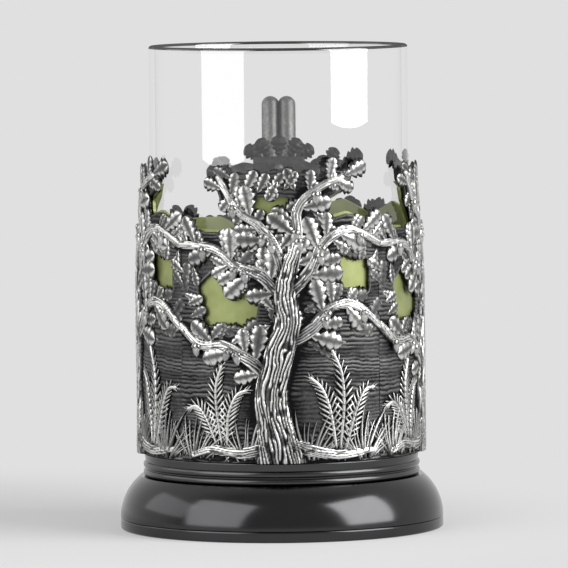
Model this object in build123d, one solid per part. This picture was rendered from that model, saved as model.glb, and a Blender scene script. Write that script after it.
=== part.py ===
from build123d import *
import math
import os

# A tea glass in a pierced holder with a handle.
# The holder stands on a flared foot. A gilded liner rises from the foot, four cast panels of oak
# boughs are soldered round the liner, and a reeded handle is riveted to the rear panel. The glass
# drops into the liner and rests on the floor plate.
# Frame: origin on the table at the centre of the foot, +Z up, front towards -Y, handle towards +Y.
# Lengths are millimetres and angles are degrees.

# Glass
GLASS_RADIUS = 34.0
GLASS_HEIGHT = 109.0
GLASS_WALL = 1.6
GLASS_BOTTOM = 5.0
GLASS_HEEL_RADIUS = 3.0
GLASS_LIP_SHARE = 0.45

# Fits between the pieces
GLASS_CLEARANCE = 0.3
SOLDER_GAP = 0.05
RIVET_CLEARANCE = 0.03
SCREW_CLEARANCE = 0.1

# Foot, with the heavy ring that it stands on
FOOT_FLARE = 5.3
FOOT_HEIGHT = 14.0
FOOT_WALL = 1.2
FOOT_SHOULDER = 0.8
FLANGE_WIDTH = 12.3
RIM_HEIGHT = 3.0
RIM_WIDTH = 3.5
RIM_ROUND = 0.6

# Neck band, floor plate and liner
NECK_HEIGHT = 6.0
NECK_THICKNESS = 1.25
NECK_ROUND = 0.4
FLOOR_THICKNESS = 4.0
LINER_WALL = 0.8
LINER_DROP = 6.0

# Screws that hold the floor plate to the foot
SCREW_COUNT = 3
SCREW_RADIUS = 1.5
SCREW_BITE = 2.8
SCREW_HEAD_RADIUS = 2.7
SCREW_HEAD_HEIGHT = 1.5
SCREW_SLOT_WIDTH = 0.7
SCREW_SLOT_DEPTH = 0.7

# Relief panels
PANEL_COUNT = 4
PANEL_HEIGHT = 76.0
GROUND_THICKNESS = 0.9
FERN_RISE = 0.8
LEAF_RISE = 1.0
BOUGH_RISE = 1.4
TRUNK_RISE = 1.9
TAPER_SHARE = 0.97
LEAF_LENGTH = 10.8
LEAF_WIDTH = 7.6
LEAF_SPLAY = 52.0
LEAF_SHRINK = 0.25
# Notches and lobes of a leaf, in shares of its half width and its length
LEAF_NOTCHES = [(0.50, 0.32), (0.56, 0.60), (0.42, 0.82)]
LEAF_LOBES = [(0.55, 0.14), (1.00, 0.46), (0.84, 0.73)]
WINDOW_ROUND = 1.6
LINER_LIP = 0.6

# Trunk and roots: places across and up a panel as shares of its half width and height, each with
# the half thickness of the wood there in millimetres.
TRUNK = [(0.00, 0.00, 6.6), (-0.05, 0.11, 5.0), (-0.09, 0.23, 4.3), (-0.02, 0.36, 3.9),
         (0.07, 0.48, 3.4), (0.04, 0.58, 2.8)]
ROOTS = [
    [(-0.10, 0.06, 2.2), (-0.34, 0.035, 1.8), (-0.62, 0.045, 1.4), (-0.85, 0.025, 1.0)],
    [(0.10, 0.06, 2.2), (0.31, 0.04, 1.8), (0.55, 0.025, 1.4), (0.88, 0.035, 1.0)],
]
# Boughs in the same shares, and how many leaves each one carries.
BOUGHS = [
    ([(-0.07, 0.28, 2.1), (-0.28, 0.35, 1.8), (-0.52, 0.40, 1.5), (-0.76, 0.40, 1.3), (-1.0, 0.46, 1.1)], 5),
    ([(0.02, 0.40, 2.0), (0.27, 0.45, 1.8), (0.48, 0.53, 1.5), (0.72, 0.53, 1.3), (1.0, 0.46, 1.1)], 5),
    ([(0.04, 0.55, 1.9), (-0.17, 0.64, 1.7), (-0.41, 0.67, 1.5), (-0.62, 0.73, 1.3), (-1.0, 0.74, 1.0)], 6),
    ([(0.06, 0.57, 1.9), (0.28, 0.66, 1.7), (0.41, 0.75, 1.5), (0.65, 0.79, 1.3), (1.0, 0.74, 1.0)], 5),
    ([(0.04, 0.58, 1.9), (-0.03, 0.72, 1.6), (-0.20, 0.81, 1.4), (-0.41, 0.87, 1.2), (-0.56, 0.97, 0.9)], 5),
    ([(0.05, 0.58, 1.9), (0.16, 0.74, 1.6), (0.16, 0.86, 1.4), (0.34, 0.93, 1.2), (0.58, 0.97, 0.9)], 5),
]
# Fern fronds that rise from the ground at each side of the trunk, in the same shares.
FERNS = [
    [(-0.50, 0.06, 0.7), (-0.49, 0.16, 2.2), (-0.41, 0.23, 1.8), (-0.31, 0.25, 0.6)],
    [(-0.55, 0.06, 0.7), (-0.60, 0.17, 2.3), (-0.61, 0.26, 1.9), (-0.55, 0.33, 0.6)],
    [(-0.60, 0.06, 0.7), (-0.71, 0.15, 2.2), (-0.81, 0.19, 1.8), (-0.92, 0.18, 0.6)],
    [(0.51, 0.05, 0.7), (0.46, 0.17, 2.2), (0.38, 0.25, 1.8), (0.27, 0.29, 0.6)],
    [(0.55, 0.05, 0.7), (0.59, 0.19, 2.3), (0.57, 0.30, 1.9), (0.48, 0.38, 0.6)],
    [(0.61, 0.05, 0.7), (0.71, 0.17, 2.2), (0.81, 0.24, 1.8), (0.92, 0.25, 0.6)],
]
# Windows: corners in the same shares, and whether the liner is pierced behind it. Where it isn't,
# the gilding shows. A window that passes a share of 1 is a notch in the upper edge.
WINDOWS = [
    ([(-0.25, 0.715), (-0.60, 0.785), (-1.04, 0.785), (-1.04, 1.06), (-0.71, 1.06), (-0.54, 0.88),
      (-0.33, 0.80)], True),
    ([(0.45, 0.825), (0.66, 0.845), (1.04, 0.785), (1.04, 1.06), (0.72, 1.06), (0.66, 0.935),
      (0.43, 0.89)], True),
    ([(-0.24, 0.445), (-0.50, 0.465), (-0.74, 0.47), (-0.80, 0.60), (-0.62, 0.655), (-0.42, 0.605),
      (-0.19, 0.565)], False),
    ([(0.36, 0.585), (0.62, 0.595), (0.88, 0.56), (0.88, 0.68), (0.66, 0.725), (0.50, 0.70)], False),
    ([(0.03, 0.765), (0.085, 0.85), (0.12, 0.905), (-0.26, 0.905), (-0.27, 0.875), (-0.12, 0.825)], False),
]

# Handle, riveted through two lugs
LUG_HALF_WIDTH = 6.4
LUG_HALF_HEIGHT = 9.2
LUG_THICKNESS = 1.9
LUG_MARGIN = 0.6
UPPER_LUG_BELOW_TOP = 9.5
LOWER_LUG_ABOVE_NECK = 19.0
REED_RADIUS = 2.6
REED_OFFSET = 2.1
HANDLE_DEPTH = 29.0
HANDLE_SWELL = 5.0
HANDLE_TAPER = 11.0
HANDLE_RISE = 3.5
HANDLE_TOP_BEND = 9.0
HANDLE_SIDE_BEND = 26.0
HANDLE_LOW_BEND = 14.0
THUMB_REED_RADIUS = 2.4
THUMB_REED_OFFSET = 2.2
THUMB_SETBACK = 11.5
THUMB_HEIGHT = 19.0
THUMB_LEAN = 4.0
THUMB_BEND = 9.0
RIVET_RADIUS = 1.2
RIVET_EDGE = 2.9
RIVET_HEAD_RADIUS = 2.1
RIVET_HEAD_HEIGHT = 1.1

# Radii and heights that follow from the sizes above
LINER_INSIDE = GLASS_RADIUS + GLASS_CLEARANCE
LINER_OUTSIDE = LINER_INSIDE + LINER_WALL
GROUND_INSIDE = LINER_OUTSIDE + SOLDER_GAP
GROUND_OUTSIDE = GROUND_INSIDE + GROUND_THICKNESS
NECK_OUTSIDE = GROUND_INSIDE + NECK_THICKNESS
SHOULDER_RADIUS = NECK_OUTSIDE + FOOT_SHOULDER
FOOT_RADIUS = SHOULDER_RADIUS + FOOT_FLARE
FLANGE_INSIDE = LINER_INSIDE - FLANGE_WIDTH
SCREW_CIRCLE_RADIUS = LINER_INSIDE - FLANGE_WIDTH / 2
FLOOR_TOP = FOOT_HEIGHT + FLOOR_THICKNESS
PANEL_BOTTOM = FOOT_HEIGHT + NECK_HEIGHT
PANEL_TOP = PANEL_BOTTOM + PANEL_HEIGHT
LINER_TOP = PANEL_TOP - LINER_DROP
PANEL_ANGLE = 360.0 / PANEL_COUNT
RELIEF_ROOT = (GROUND_INSIDE + GROUND_OUTSIDE) / 2
RELIEF_RADIUS = GROUND_OUTSIDE + TRUNK_RISE
PANEL_HALF_WIDTH = math.radians(PANEL_ANGLE / 2) * GROUND_OUTSIDE
WINDOW_SIDES = [sorted(across for across, _ in corners) for corners, _ in WINDOWS]
WIDEST_HALF = max(sides[-1] - sides[0] for sides in WINDOW_SIDES) / 2 * PANEL_HALF_WIDTH
PRISM_START = math.sqrt(LINER_INSIDE ** 2 - WIDEST_HALF ** 2) - GLASS_CLEARANCE
LUG_INSIDE = GROUND_OUTSIDE + SOLDER_GAP
LUG_OUTSIDE = LUG_INSIDE + LUG_THICKNESS
UPPER_LUG_HEIGHT = PANEL_TOP - UPPER_LUG_BELOW_TOP
LOWER_LUG_HEIGHT = PANEL_BOTTOM + LOWER_LUG_ABOVE_NECK
HANDLE_REACH = LUG_OUTSIDE + HANDLE_DEPTH
THUMB_STAND = LUG_OUTSIDE + THUMB_SETBACK
REAR = 180.0
REAR_PANEL = 2


def turned(*edges):
    """A solid turned about the upright axis from a closed outline of (radius, height) edges."""
    return revolve(Plane.XZ * make_face(edges), Axis.Z)


def ring(inside, outside, low, high):
    """A plain ring between two radii and two heights."""
    outline = Polyline((inside, low), (outside, low), (outside, high), (inside, high), close=True)
    return turned(outline)


def panel_sector(inside, outside, low, high):
    """The stretch of a ring that one panel covers, centred on the front."""
    outline = Polyline((inside, low), (outside, low), (outside, high), (inside, high), close=True)
    sector = revolve(Plane.XZ * make_face(outline), Axis.Z, revolution_arc=PANEL_ANGLE)
    return Rot(0, 0, -90.0 - PANEL_ANGLE / 2) * sector


def facing(angle, radius, height):
    """The plane that touches a cylinder at an angle from the front, with its Y axis upright."""
    turn = math.radians(angle)
    outward = Vector(math.sin(turn), -math.cos(turn), 0)
    along = Vector(math.cos(turn), math.sin(turn), 0)
    return Plane(origin=outward * radius + Vector(0, 0, height), x_dir=along, z_dir=outward)


def prism(sketch, angle, height):
    """A sketch driven outwards through the whole depth of the relief."""
    depth = RELIEF_RADIUS + LUG_THICKNESS - PRISM_START
    return extrude(facing(angle, PRISM_START, height) * sketch, amount=depth)


def on_panel(across, up):
    """Angle and height of a place given in shares of a panel's half width and height."""
    return across * PANEL_ANGLE / 2, PANEL_BOTTOM + up * PANEL_HEIGHT


def offset_on_panel(start, end):
    """The flat step in millimetres from one (angle, height) place to another."""
    return Vector(math.radians(end[0] - start[0]) * GROUND_OUTSIDE, end[1] - start[1])


def wood(route):
    """Prisms along a tapering branch: a round at each place and a straight taper between places."""
    pieces = []
    for across, up, half in route:
        pieces.append(prism(Circle(half), *on_panel(across, up)))
    for (across, up, half), (next_across, next_up, next_half) in zip(route, route[1:]):
        start = on_panel(across, up)
        step = offset_on_panel(start, on_panel(next_across, next_up))
        side = Vector(-step.Y, step.X).normalized() * TAPER_SHARE
        near = step * -0.5
        far = step * 0.5
        corners = [near + side * half, far + side * next_half, far - side * next_half, near - side * half]
        turn = math.degrees(step.X / 2 / GROUND_OUTSIDE)
        taper = make_face(Polyline(*corners, close=True))
        pieces.append(prism(taper, start[0] + turn, start[1] + step.Y / 2))
    return pieces


def oak_leaf(length, width):
    """A lobed leaf outline that grows along +Y from the origin."""
    half = width / 2
    right = []
    start = (0, 0)
    for (notch_x, notch_y), (lobe_x, lobe_y) in zip(LEAF_NOTCHES, LEAF_LOBES):
        end = (notch_x * half, notch_y * length)
        right.append(ThreePointArc(start, (lobe_x * half, lobe_y * length), end))
        start = end
    tip = ThreePointArc(start, (0, length), (-start[0], start[1]))
    left = [mirror(edge, Plane.YZ) for edge in right]
    return make_face(right + [tip] + left)


def place_along(route, share):
    """Angle, height and heading at a share of the way along a branch."""
    places = [on_panel(across, up) for across, up, _ in route]
    steps = [offset_on_panel(start, end) for start, end in zip(places, places[1:])]
    left = share * sum(step.length for step in steps)
    for start, step in zip(places, steps):
        if left <= step.length or step is steps[-1]:
            part = min(left / step.length, 1.0)
            turn = math.degrees(step.X * part / GROUND_OUTSIDE)
            heading = math.degrees(math.atan2(step.Y, step.X))
            return start[0] + turn, start[1] + step.Y * part, heading
        left -= step.length


def leaves(route, count):
    """Leaf prisms that alternate along a bough, with the last one at its tip."""
    pieces = []
    for number in range(count):
        share = (number + 1) / count
        angle, height, heading = place_along(route, share)
        side = 1 if number % 2 else -1
        splay = 0.0 if number == count - 1 else side * LEAF_SPLAY
        scale = 1.0 - LEAF_SHRINK * share
        outline = oak_leaf(LEAF_LENGTH * scale, LEAF_WIDTH * scale)
        pieces.append(prism(Rot(0, 0, heading - 90.0 + splay) * outline, angle, height))
    return pieces


def raised(pieces, rise):
    """Prisms joined and cut to the height of their layer, within the panel."""
    joined = pieces[0].fuse(*pieces[1:])
    layer = panel_sector(RELIEF_ROOT, GROUND_OUTSIDE + rise, PANEL_BOTTOM, PANEL_TOP + LEAF_LENGTH)
    return layer & joined


def window(corners, inset=0.0):
    """A prism that pierces a wall with one window of straight sides and rounded corners."""
    places = [on_panel(across, up) for across, up in corners]
    angles = [angle for angle, _ in places]
    heights = [height for _, height in places]
    middle = ((min(angles) + max(angles)) / 2, (min(heights) + max(heights)) / 2)
    steps = [offset_on_panel(middle, place) for place in places]
    opening = make_face(FilletPolyline(*steps, radius=WINDOW_ROUND, close=True))
    if inset:
        opening = offset(opening, amount=-inset)
    return prism(opening, *middle)


def handle_strip():
    """The plain upright strip on the rear panel that the handle's lugs are riveted to."""
    width = 2 * (LUG_HALF_WIDTH + LUG_MARGIN)
    depth = RELIEF_RADIUS + LUG_THICKNESS
    height = PANEL_TOP + LEAF_LENGTH
    return Box(width, depth, height, align=(Align.CENTER, Align.MAX, Align.MIN))


def relief_panels():
    """The cast panel with a tree, and the rear one with a plain strip for a trunk, both at the front."""
    ground = panel_sector(GROUND_INSIDE, GROUND_OUTSIDE, PANEL_BOTTOM, PANEL_TOP)
    for corners, _ in WINDOWS:
        ground -= window(corners)
    undergrowth = [piece for route in FERNS for piece in wood(route)]
    growth = [piece for route, count in BOUGHS for piece in leaves(route, count)]
    branches = [piece for route, _ in BOUGHS for piece in wood(route)]
    layers = [raised(undergrowth, FERN_RISE), raised(growth, LEAF_RISE), raised(branches, BOUGH_RISE)]
    canopy = ground.fuse(*layers)
    stem = wood(TRUNK) + [piece for route in ROOTS for piece in wood(route)]
    tree_panel = canopy.fuse(raised(stem, TRUNK_RISE))
    strip = handle_strip()
    plain = ring(GROUND_INSIDE, GROUND_OUTSIDE, PANEL_BOTTOM, PANEL_TOP) & strip
    return tree_panel, (canopy - strip).fuse(plain)


def placed_panel(panel, number):
    """A panel turned to its place. The rear one is mirrored, so its windows face those of the front."""
    turned_panel = mirror(panel, Plane.YZ) if number == REAR_PANEL else panel
    return Rot(0, 0, number * PANEL_ANGLE) * turned_panel


def rivet_places():
    """Heights of the rivets, two in each lug."""
    offset = LUG_HALF_HEIGHT - RIVET_EDGE
    return [middle + side * offset for middle in (UPPER_LUG_HEIGHT, LOWER_LUG_HEIGHT) for side in (1, -1)]


def rivet_holes():
    """Prisms for the rivet holes through lug, panel and liner."""
    hole = Circle(RIVET_RADIUS + RIVET_CLEARANCE)
    return [prism(hole, REAR, height) for height in rivet_places()]


def screw_places():
    """Places of the screws, on a circle in the middle of the foot's flange."""
    return PolarLocations(SCREW_CIRCLE_RADIUS, SCREW_COUNT)


def drilled(solid, radius, low, high):
    """A solid with the ring of screw holes between two heights."""
    for place in screw_places():
        solid -= Pos(0, 0, low) * place * extrude(Circle(radius), amount=high - low)
    return solid


def tea_glass():
    """A straight tumbler with a thick bottom and a rounded lip and heel."""
    low = FLOOR_TOP
    high = low + GLASS_HEIGHT
    inside = GLASS_RADIUS - GLASS_WALL
    bottom = low + GLASS_BOTTOM
    outline = make_face(Polyline((0, low), (GLASS_RADIUS, low), (GLASS_RADIUS, high), (inside, high),
                                 (inside, bottom), (0, bottom), close=True))
    lip = outline.vertices().group_by(Axis.Y)[-1]
    outline = fillet(lip, GLASS_WALL * GLASS_LIP_SHARE)
    near_floor = outline.vertices().filter_by_position(Axis.Y, low, bottom)
    heel = near_floor.filter_by_position(Axis.X, inside, GLASS_RADIUS)
    outline = fillet(heel, GLASS_HEEL_RADIUS)
    return revolve(Plane.XZ * outline, Axis.Z)


def foot():
    """A convex shell that flares from the neck to the rim, with a flat flange inside its top."""
    low = RIM_HEIGHT
    rise = FOOT_HEIGHT - low
    bend = (FOOT_FLARE ** 2 + rise ** 2) / (2 * FOOT_FLARE)
    under = FOOT_HEIGHT - FOOT_WALL
    inner_bend = bend - FOOT_WALL
    inner_top = FOOT_RADIUS - bend + math.sqrt(inner_bend ** 2 - (under - low) ** 2)
    shell = turned(
        Line((FOOT_RADIUS - FOOT_WALL, low), (FOOT_RADIUS, low)),
        TangentArc((FOOT_RADIUS, low), (SHOULDER_RADIUS, FOOT_HEIGHT), tangent=(0, 1)),
        Polyline((SHOULDER_RADIUS, FOOT_HEIGHT), (FLANGE_INSIDE, FOOT_HEIGHT), (FLANGE_INSIDE, under),
                 (inner_top, under)),
        TangentArc((FOOT_RADIUS - FOOT_WALL, low), (inner_top, under), tangent=(0, 1)),
    )
    return drilled(shell, SCREW_RADIUS + SCREW_CLEARANCE, under - FOOT_WALL, FOOT_HEIGHT + FOOT_WALL)


def foot_rim():
    """The ring that the foot stands on, with its outer edges rounded."""
    band = ring(FOOT_RADIUS - RIM_WIDTH, FOOT_RADIUS, 0, RIM_HEIGHT)
    outer = band.edges().filter_by(GeomType.CIRCLE).sort_by(SortBy.RADIUS)[-2:]
    return fillet(outer, RIM_ROUND)


def neck_band():
    """The plain band between the foot and the relief."""
    band = ring(GROUND_INSIDE, NECK_OUTSIDE, FOOT_HEIGHT, PANEL_BOTTOM)
    outer = band.edges().filter_by(GeomType.CIRCLE).sort_by(SortBy.RADIUS)[-2:]
    return fillet(outer, NECK_ROUND)


def floor_plate():
    """The disc that closes the liner and carries the glass."""
    disc = Pos(0, 0, FOOT_HEIGHT) * extrude(Circle(LINER_INSIDE - SOLDER_GAP), amount=FLOOR_THICKNESS)
    hole_top = FOOT_HEIGHT + SCREW_BITE + SCREW_CLEARANCE
    return drilled(disc, SCREW_RADIUS + SCREW_CLEARANCE, FOOT_HEIGHT, hole_top)


def foot_screws():
    """Slotted screws that reach from inside the foot into the floor plate."""
    under = FOOT_HEIGHT - FOOT_WALL
    shank = Pos(0, 0, under) * extrude(Circle(SCREW_RADIUS), amount=FOOT_WALL + SCREW_BITE)
    head = Pos(0, 0, under - SCREW_HEAD_HEIGHT) * extrude(Circle(SCREW_HEAD_RADIUS), amount=SCREW_HEAD_HEIGHT)
    slot = Box(2 * SCREW_HEAD_RADIUS, SCREW_SLOT_WIDTH, 2 * SCREW_SLOT_DEPTH)
    screw = shank + head - Pos(0, 0, under - SCREW_HEAD_HEIGHT) * slot
    return Compound(children=[place * screw for place in screw_places()])


def gilded_liner():
    """The tube behind the relief, pierced where a window is open."""
    tube = ring(LINER_INSIDE, LINER_OUTSIDE, FOOT_HEIGHT, LINER_TOP)
    cuts = [window(corners, LINER_LIP) for corners, pierced in WINDOWS if pierced]
    piercing = cuts[0].fuse(*cuts[1:])
    for number in range(PANEL_COUNT):
        tube -= placed_panel(piercing, number)
    for hole in rivet_holes():
        tube -= hole
    return tube


def lug(height):
    """A saddle plate that carries one end of the handle."""
    plate = prism(Ellipse(LUG_HALF_WIDTH, LUG_HALF_HEIGHT), REAR, height)
    plate = plate & ring(LUG_INSIDE, LUG_OUTSIDE, FOOT_HEIGHT, PANEL_TOP + LUG_HALF_HEIGHT)
    for hole in rivet_holes():
        plate -= hole
    return plate


def swept_reeds(path, radius, offset):
    """Two reeds side by side, drawn along a path in the handle's plane."""
    reeds = Pos(offset, 0) * Circle(radius) + Pos(-offset, 0) * Circle(radius)
    return sweep(Plane(origin=path @ 0, x_dir=(1, 0, 0), z_dir=path % 0) * reeds, path)


def handle_bow(lugs):
    """The bow of the handle, which ends on the faces of its lugs."""
    root = (LUG_INSIDE + LUG_OUTSIDE) / 2
    middle = (UPPER_LUG_HEIGHT + LOWER_LUG_HEIGHT) / 2
    corners = [
        (0, root, UPPER_LUG_HEIGHT),
        (0, HANDLE_REACH - HANDLE_SWELL, UPPER_LUG_HEIGHT + HANDLE_RISE),
        (0, HANDLE_REACH + HANDLE_SWELL / 2, middle),
        (0, HANDLE_REACH - HANDLE_TAPER, LOWER_LUG_HEIGHT + HANDLE_RISE / 2),
        (0, root, LOWER_LUG_HEIGHT),
    ]
    bends = [HANDLE_TOP_BEND, HANDLE_SIDE_BEND, HANDLE_LOW_BEND]
    bow = swept_reeds(FilletPolyline(*corners, radius=bends), REED_RADIUS, REED_OFFSET)
    for plate in lugs:
        bow -= plate
    return bow.solids().sort_by(SortBy.VOLUME)[-1]


def thumb_rest(bow):
    """The upright rest on top of the bow, which leans away from the glass."""
    foot_of_rest = UPPER_LUG_HEIGHT + HANDLE_RISE / 2
    top = UPPER_LUG_HEIGHT + HANDLE_RISE + REED_RADIUS + THUMB_HEIGHT - THUMB_REED_RADIUS
    bend_height = top - THUMB_HEIGHT / 2
    path = FilletPolyline((0, THUMB_STAND, foot_of_rest), (0, THUMB_STAND, bend_height),
                          (0, THUMB_STAND + THUMB_LEAN, top), radius=THUMB_BEND)
    rest = swept_reeds(path, THUMB_REED_RADIUS, THUMB_REED_OFFSET)
    for side in (1, -1):
        rest += Pos(side * THUMB_REED_OFFSET, THUMB_STAND + THUMB_LEAN, top) * Sphere(THUMB_REED_RADIUS)
    return (rest - bow).solids().sort_by(Axis.Z)[-1]


def handle_rivets():
    """Round-headed rivets, flush inside the liner."""
    tail = LINER_INSIDE + SOLDER_GAP
    shank = Pos(0, 0, tail) * extrude(Circle(RIVET_RADIUS), amount=LUG_OUTSIDE - tail)
    dome = turned(
        Line((0, LUG_OUTSIDE), (RIVET_HEAD_RADIUS, LUG_OUTSIDE)),
        TangentArc((0, LUG_OUTSIDE + RIVET_HEAD_HEIGHT), (RIVET_HEAD_RADIUS, LUG_OUTSIDE), tangent=(1, 0)),
        Line((0, LUG_OUTSIDE + RIVET_HEAD_HEIGHT), (0, LUG_OUTSIDE)),
    )
    rivet = Rot(-90, 0, 0) * (shank + dome)
    return Compound(children=[Pos(0, 0, height) * rivet for height in rivet_places()])


def main():
    tree_panel, rear_panel = relief_panels()
    upper_lug = lug(UPPER_LUG_HEIGHT)
    lower_lug = lug(LOWER_LUG_HEIGHT)
    bow = handle_bow([upper_lug, lower_lug])
    rear = placed_panel(rear_panel, REAR_PANEL)
    for hole in rivet_holes():
        rear -= hole
    nodes = {
        "tea_glass": tea_glass(),
        "gilded_liner": gilded_liner(),
        "relief_front": placed_panel(tree_panel, 0),
        "relief_right": placed_panel(tree_panel, 1),
        "relief_rear": rear,
        "relief_left": placed_panel(tree_panel, 3),
        "floor_plate": floor_plate(),
        "neck_band": neck_band(),
        "foot": foot(),
        "foot_rim": foot_rim(),
        "foot_screws": foot_screws(),
        "upper_lug": upper_lug,
        "lower_lug": lower_lug,
        "handle_bow": bow,
        "thumb_rest": thumb_rest(bow),
        "handle_rivets": handle_rivets(),
    }
    os.makedirs("parts", exist_ok=True)
    for name, shape in nodes.items():
        export_step(shape, os.path.join("parts", name + ".step"))


main()
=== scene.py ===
import math

import bmesh
import bpy
import numpy as np
from mathutils import Matrix, Vector
from mathutils.geometry import delaunay_2d_cdt


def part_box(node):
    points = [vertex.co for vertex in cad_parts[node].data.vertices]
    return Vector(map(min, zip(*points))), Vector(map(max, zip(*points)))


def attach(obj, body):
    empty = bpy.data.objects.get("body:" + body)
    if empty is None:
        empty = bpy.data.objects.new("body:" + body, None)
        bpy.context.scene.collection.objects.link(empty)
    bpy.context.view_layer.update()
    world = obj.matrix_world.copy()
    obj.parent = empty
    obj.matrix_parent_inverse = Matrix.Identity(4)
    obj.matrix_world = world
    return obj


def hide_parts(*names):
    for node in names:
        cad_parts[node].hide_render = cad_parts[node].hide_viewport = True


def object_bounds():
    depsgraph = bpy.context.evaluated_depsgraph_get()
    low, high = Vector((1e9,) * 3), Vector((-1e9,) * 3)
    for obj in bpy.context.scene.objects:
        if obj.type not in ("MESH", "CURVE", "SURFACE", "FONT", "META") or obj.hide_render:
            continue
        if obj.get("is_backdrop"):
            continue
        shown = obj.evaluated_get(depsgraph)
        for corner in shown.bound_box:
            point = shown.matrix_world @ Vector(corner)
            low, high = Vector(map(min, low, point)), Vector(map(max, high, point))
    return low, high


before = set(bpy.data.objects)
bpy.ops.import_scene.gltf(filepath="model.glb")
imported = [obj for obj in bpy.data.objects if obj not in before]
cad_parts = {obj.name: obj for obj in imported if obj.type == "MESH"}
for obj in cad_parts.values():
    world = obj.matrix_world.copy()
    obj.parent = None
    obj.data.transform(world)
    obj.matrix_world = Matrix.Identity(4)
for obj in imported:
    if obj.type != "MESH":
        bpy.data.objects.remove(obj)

# A clear tea glass in a silver holder: a cast oak relief over a gilded liner, a dark polished foot
# and a reeded handle at the back. The front is towards -Y. Lengths are metres, unless a name ends
# in _MM, and the relief is worked out in millimetres on a flat sheet before it is wrapped.

CAD_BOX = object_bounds()
MM = 0.001

# Sizes read from the frame
GLASS_LOW, GLASS_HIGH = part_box("tea_glass")
NECK_LOW, NECK_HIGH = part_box("neck_band")
FOOT_LOW, FOOT_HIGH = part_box("foot")
LINER_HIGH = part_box("gilded_liner")[1]
RIM_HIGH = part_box("foot_rim")[1]

# Sizes that the boxes don't give
GLASS_WALL = 1.6 * MM
GLASS_BOTTOM = 5.0 * MM
GLASS_HEEL = 3.0 * MM
LIP_ROUND = GLASS_WALL / 2
LINER_WALL = 0.8 * MM
SOLDER_GAP = 0.05 * MM
NECK_THICKNESS = 1.25 * MM
NECK_STEP = 0.3 * MM
NECK_ROUND = 0.4 * MM
NECK_BEADS = 2
BEAD_ROUND = 1.0 * MM
BEAD_SWEEP = 65
FOOT_WALL = 1.2 * MM
FOOT_SHOULDER = 0.8 * MM
FLANGE_WIDTH = 12.3 * MM
RIM_WIDTH = 3.5 * MM
RIM_ROUND = 0.6 * MM
LATHE_SEGMENTS = 192
ARC_STEPS = 12
SHARP_ANGLE = math.radians(32)
DOUBLES_GAP = 0.002 * MM

# Clear glass: heights where its base ends and its lip starts, the shares that it mirrors and holds
# back, and the painted shade of its lip
BASE_END = GLASS_LOW.z + 1.5 * GLASS_BOTTOM
WALL_START = GLASS_LOW.z + 2 * GLASS_BOTTOM
LIP_START = GLASS_HIGH.z - LIP_ROUND
LIP_FULL = GLASS_HIGH.z - 0.8 * LIP_ROUND
GLASS_TINT = (0.94, 0.955, 0.95, 1.0)
GLASS_IOR = 1.5
PLAIN_GLEAM = 0.10
EDGE_POWER = 5.0
EDGE_TINT = 0.10
LIP_GLEAM = 0.13
# Painted shade: the share that the lip lets through, kept low so that the lip reads dark as a rim that
# bends light would
LIP_PAINTED_SHADE = 0.08

# Blackened silver: its colours, the polish at which the grey and the bright one start and are
# whole, and the scales and strengths of its marks
SILVER_BLACK = (0.012, 0.012, 0.013, 1)
SILVER_GREY = (0.13, 0.13, 0.128, 1)
SILVER_BRIGHT = (0.75, 0.75, 0.73, 1)
GREY_POLISH = (0.05, 0.45)
BRIGHT_POLISH = (0.42, 0.78)
DULL_ROUGHNESS = 0.46
BRIGHT_ROUGHNESS = 0.25
CLOUD_SCALE = 170.0
GRAIN_SCALE = 1500.0
GRAIN_POLISH = 0.25
GRAIN_ROUGHNESS = 0.1
GRAIN_BUMP = 0.25
GRAIN_DEPTH = 0.08 * MM
GROOVE_EDGES = (0.2 * MM, 1.3 * MM)

# Handling marks on the polished metals: smears, and fine lines that run round a piece
LINE_SCALE = (120.0, 120.0, 2600.0)
SMEAR_SHARE = 0.7
LINE_SHARE = 0.3
LINE_BUMP = 0.06
LINE_DEPTH = 0.03 * MM

# Noise in every finish
NOISE_ROUGHNESS = 0.55

# Relief panels: the sheet, and how far the work on it rises
PANEL_COUNT = 4
PANEL_NAMES = ["front", "right", "rear", "left"]
GROUND_THICKNESS_MM = 0.9
SHEET_STEP_MM = 0.25
BACK_STRIDE = 10
BACK_INSET_MM = 1.0
BACK_POINT_GAP_MM = 1e-7
LEAST_SLOPE = 0.5
LINER_DROP_MM = 6.0
STRIP_HALF_MM = 7.0
STRIP_BEAD_RISE_MM = 0.5
STRIP_BEAD_HALF_MM = 0.35
WINDOW_ROUND_MM = 1.6
WINDOW_ARC_POINTS = 6
EDGE_RISE_MM = 0.22
EDGE_INSET_MM = 0.35
EDGE_HALF_MM = 0.3
FERN_STEM_RISE_MM = 0.75
FERN_STEM_HALF_MM = 0.5
TRUNK_RISE_MM = 1.9
BOUGH_RISE_MM = 1.4
LIMB_SHARE = 0.62
THIN_LIMB_SHARE = 0.55
FULL_LIMB_HALF_MM = 2.2
ROUTE_STEPS = 6
SKYLINE_DROP_MM = 1.3
# Waves of the upper edge: rise and length in millimetres, and start
SKYLINE_WAVES = [(0.7, 3.1, 0.0), (0.5, 1.3, 1.0)]

# Furrows of the ground: lower where the leaves begin, and flatter where they are worked less. A line's
# strays are waves of noise: rise, and lengths along and across the line in millimetres.
FURROW_PITCH_MM = 1.05
FURROW_RISE_MM = 0.36
FURROW_FALL_MM = 0.12
FURROW_STRAYS = [(2.2, 9.0, 5.0), (0.4, 1.5, 1.5)]
LEAF_LINE = (0.3, 0.6)
FLAT_SHARE = 0.3
WORKED_LENGTH_MM = 8.0
WORKED_HEIGHT_MM = 3.2
WORKED_LEVELS = (0.25, 0.65)

# Bark: ridges along the wood that stray in the same way and are lower where they break
TRUNK_BARK_MM = 0.85
BOUGH_BARK_MM = 0.62
BARK_SHARE = 0.5
BARK_FADE = 0.5
BARK_STRAYS = [(1.6, 6.0, 2.4), (0.5, 1.7, 1.1)]
BREAK_LENGTH_MM = 2.6
BREAK_LEVELS = (0.12, 0.4)
BROKEN_SHARE = 0.45

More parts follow.
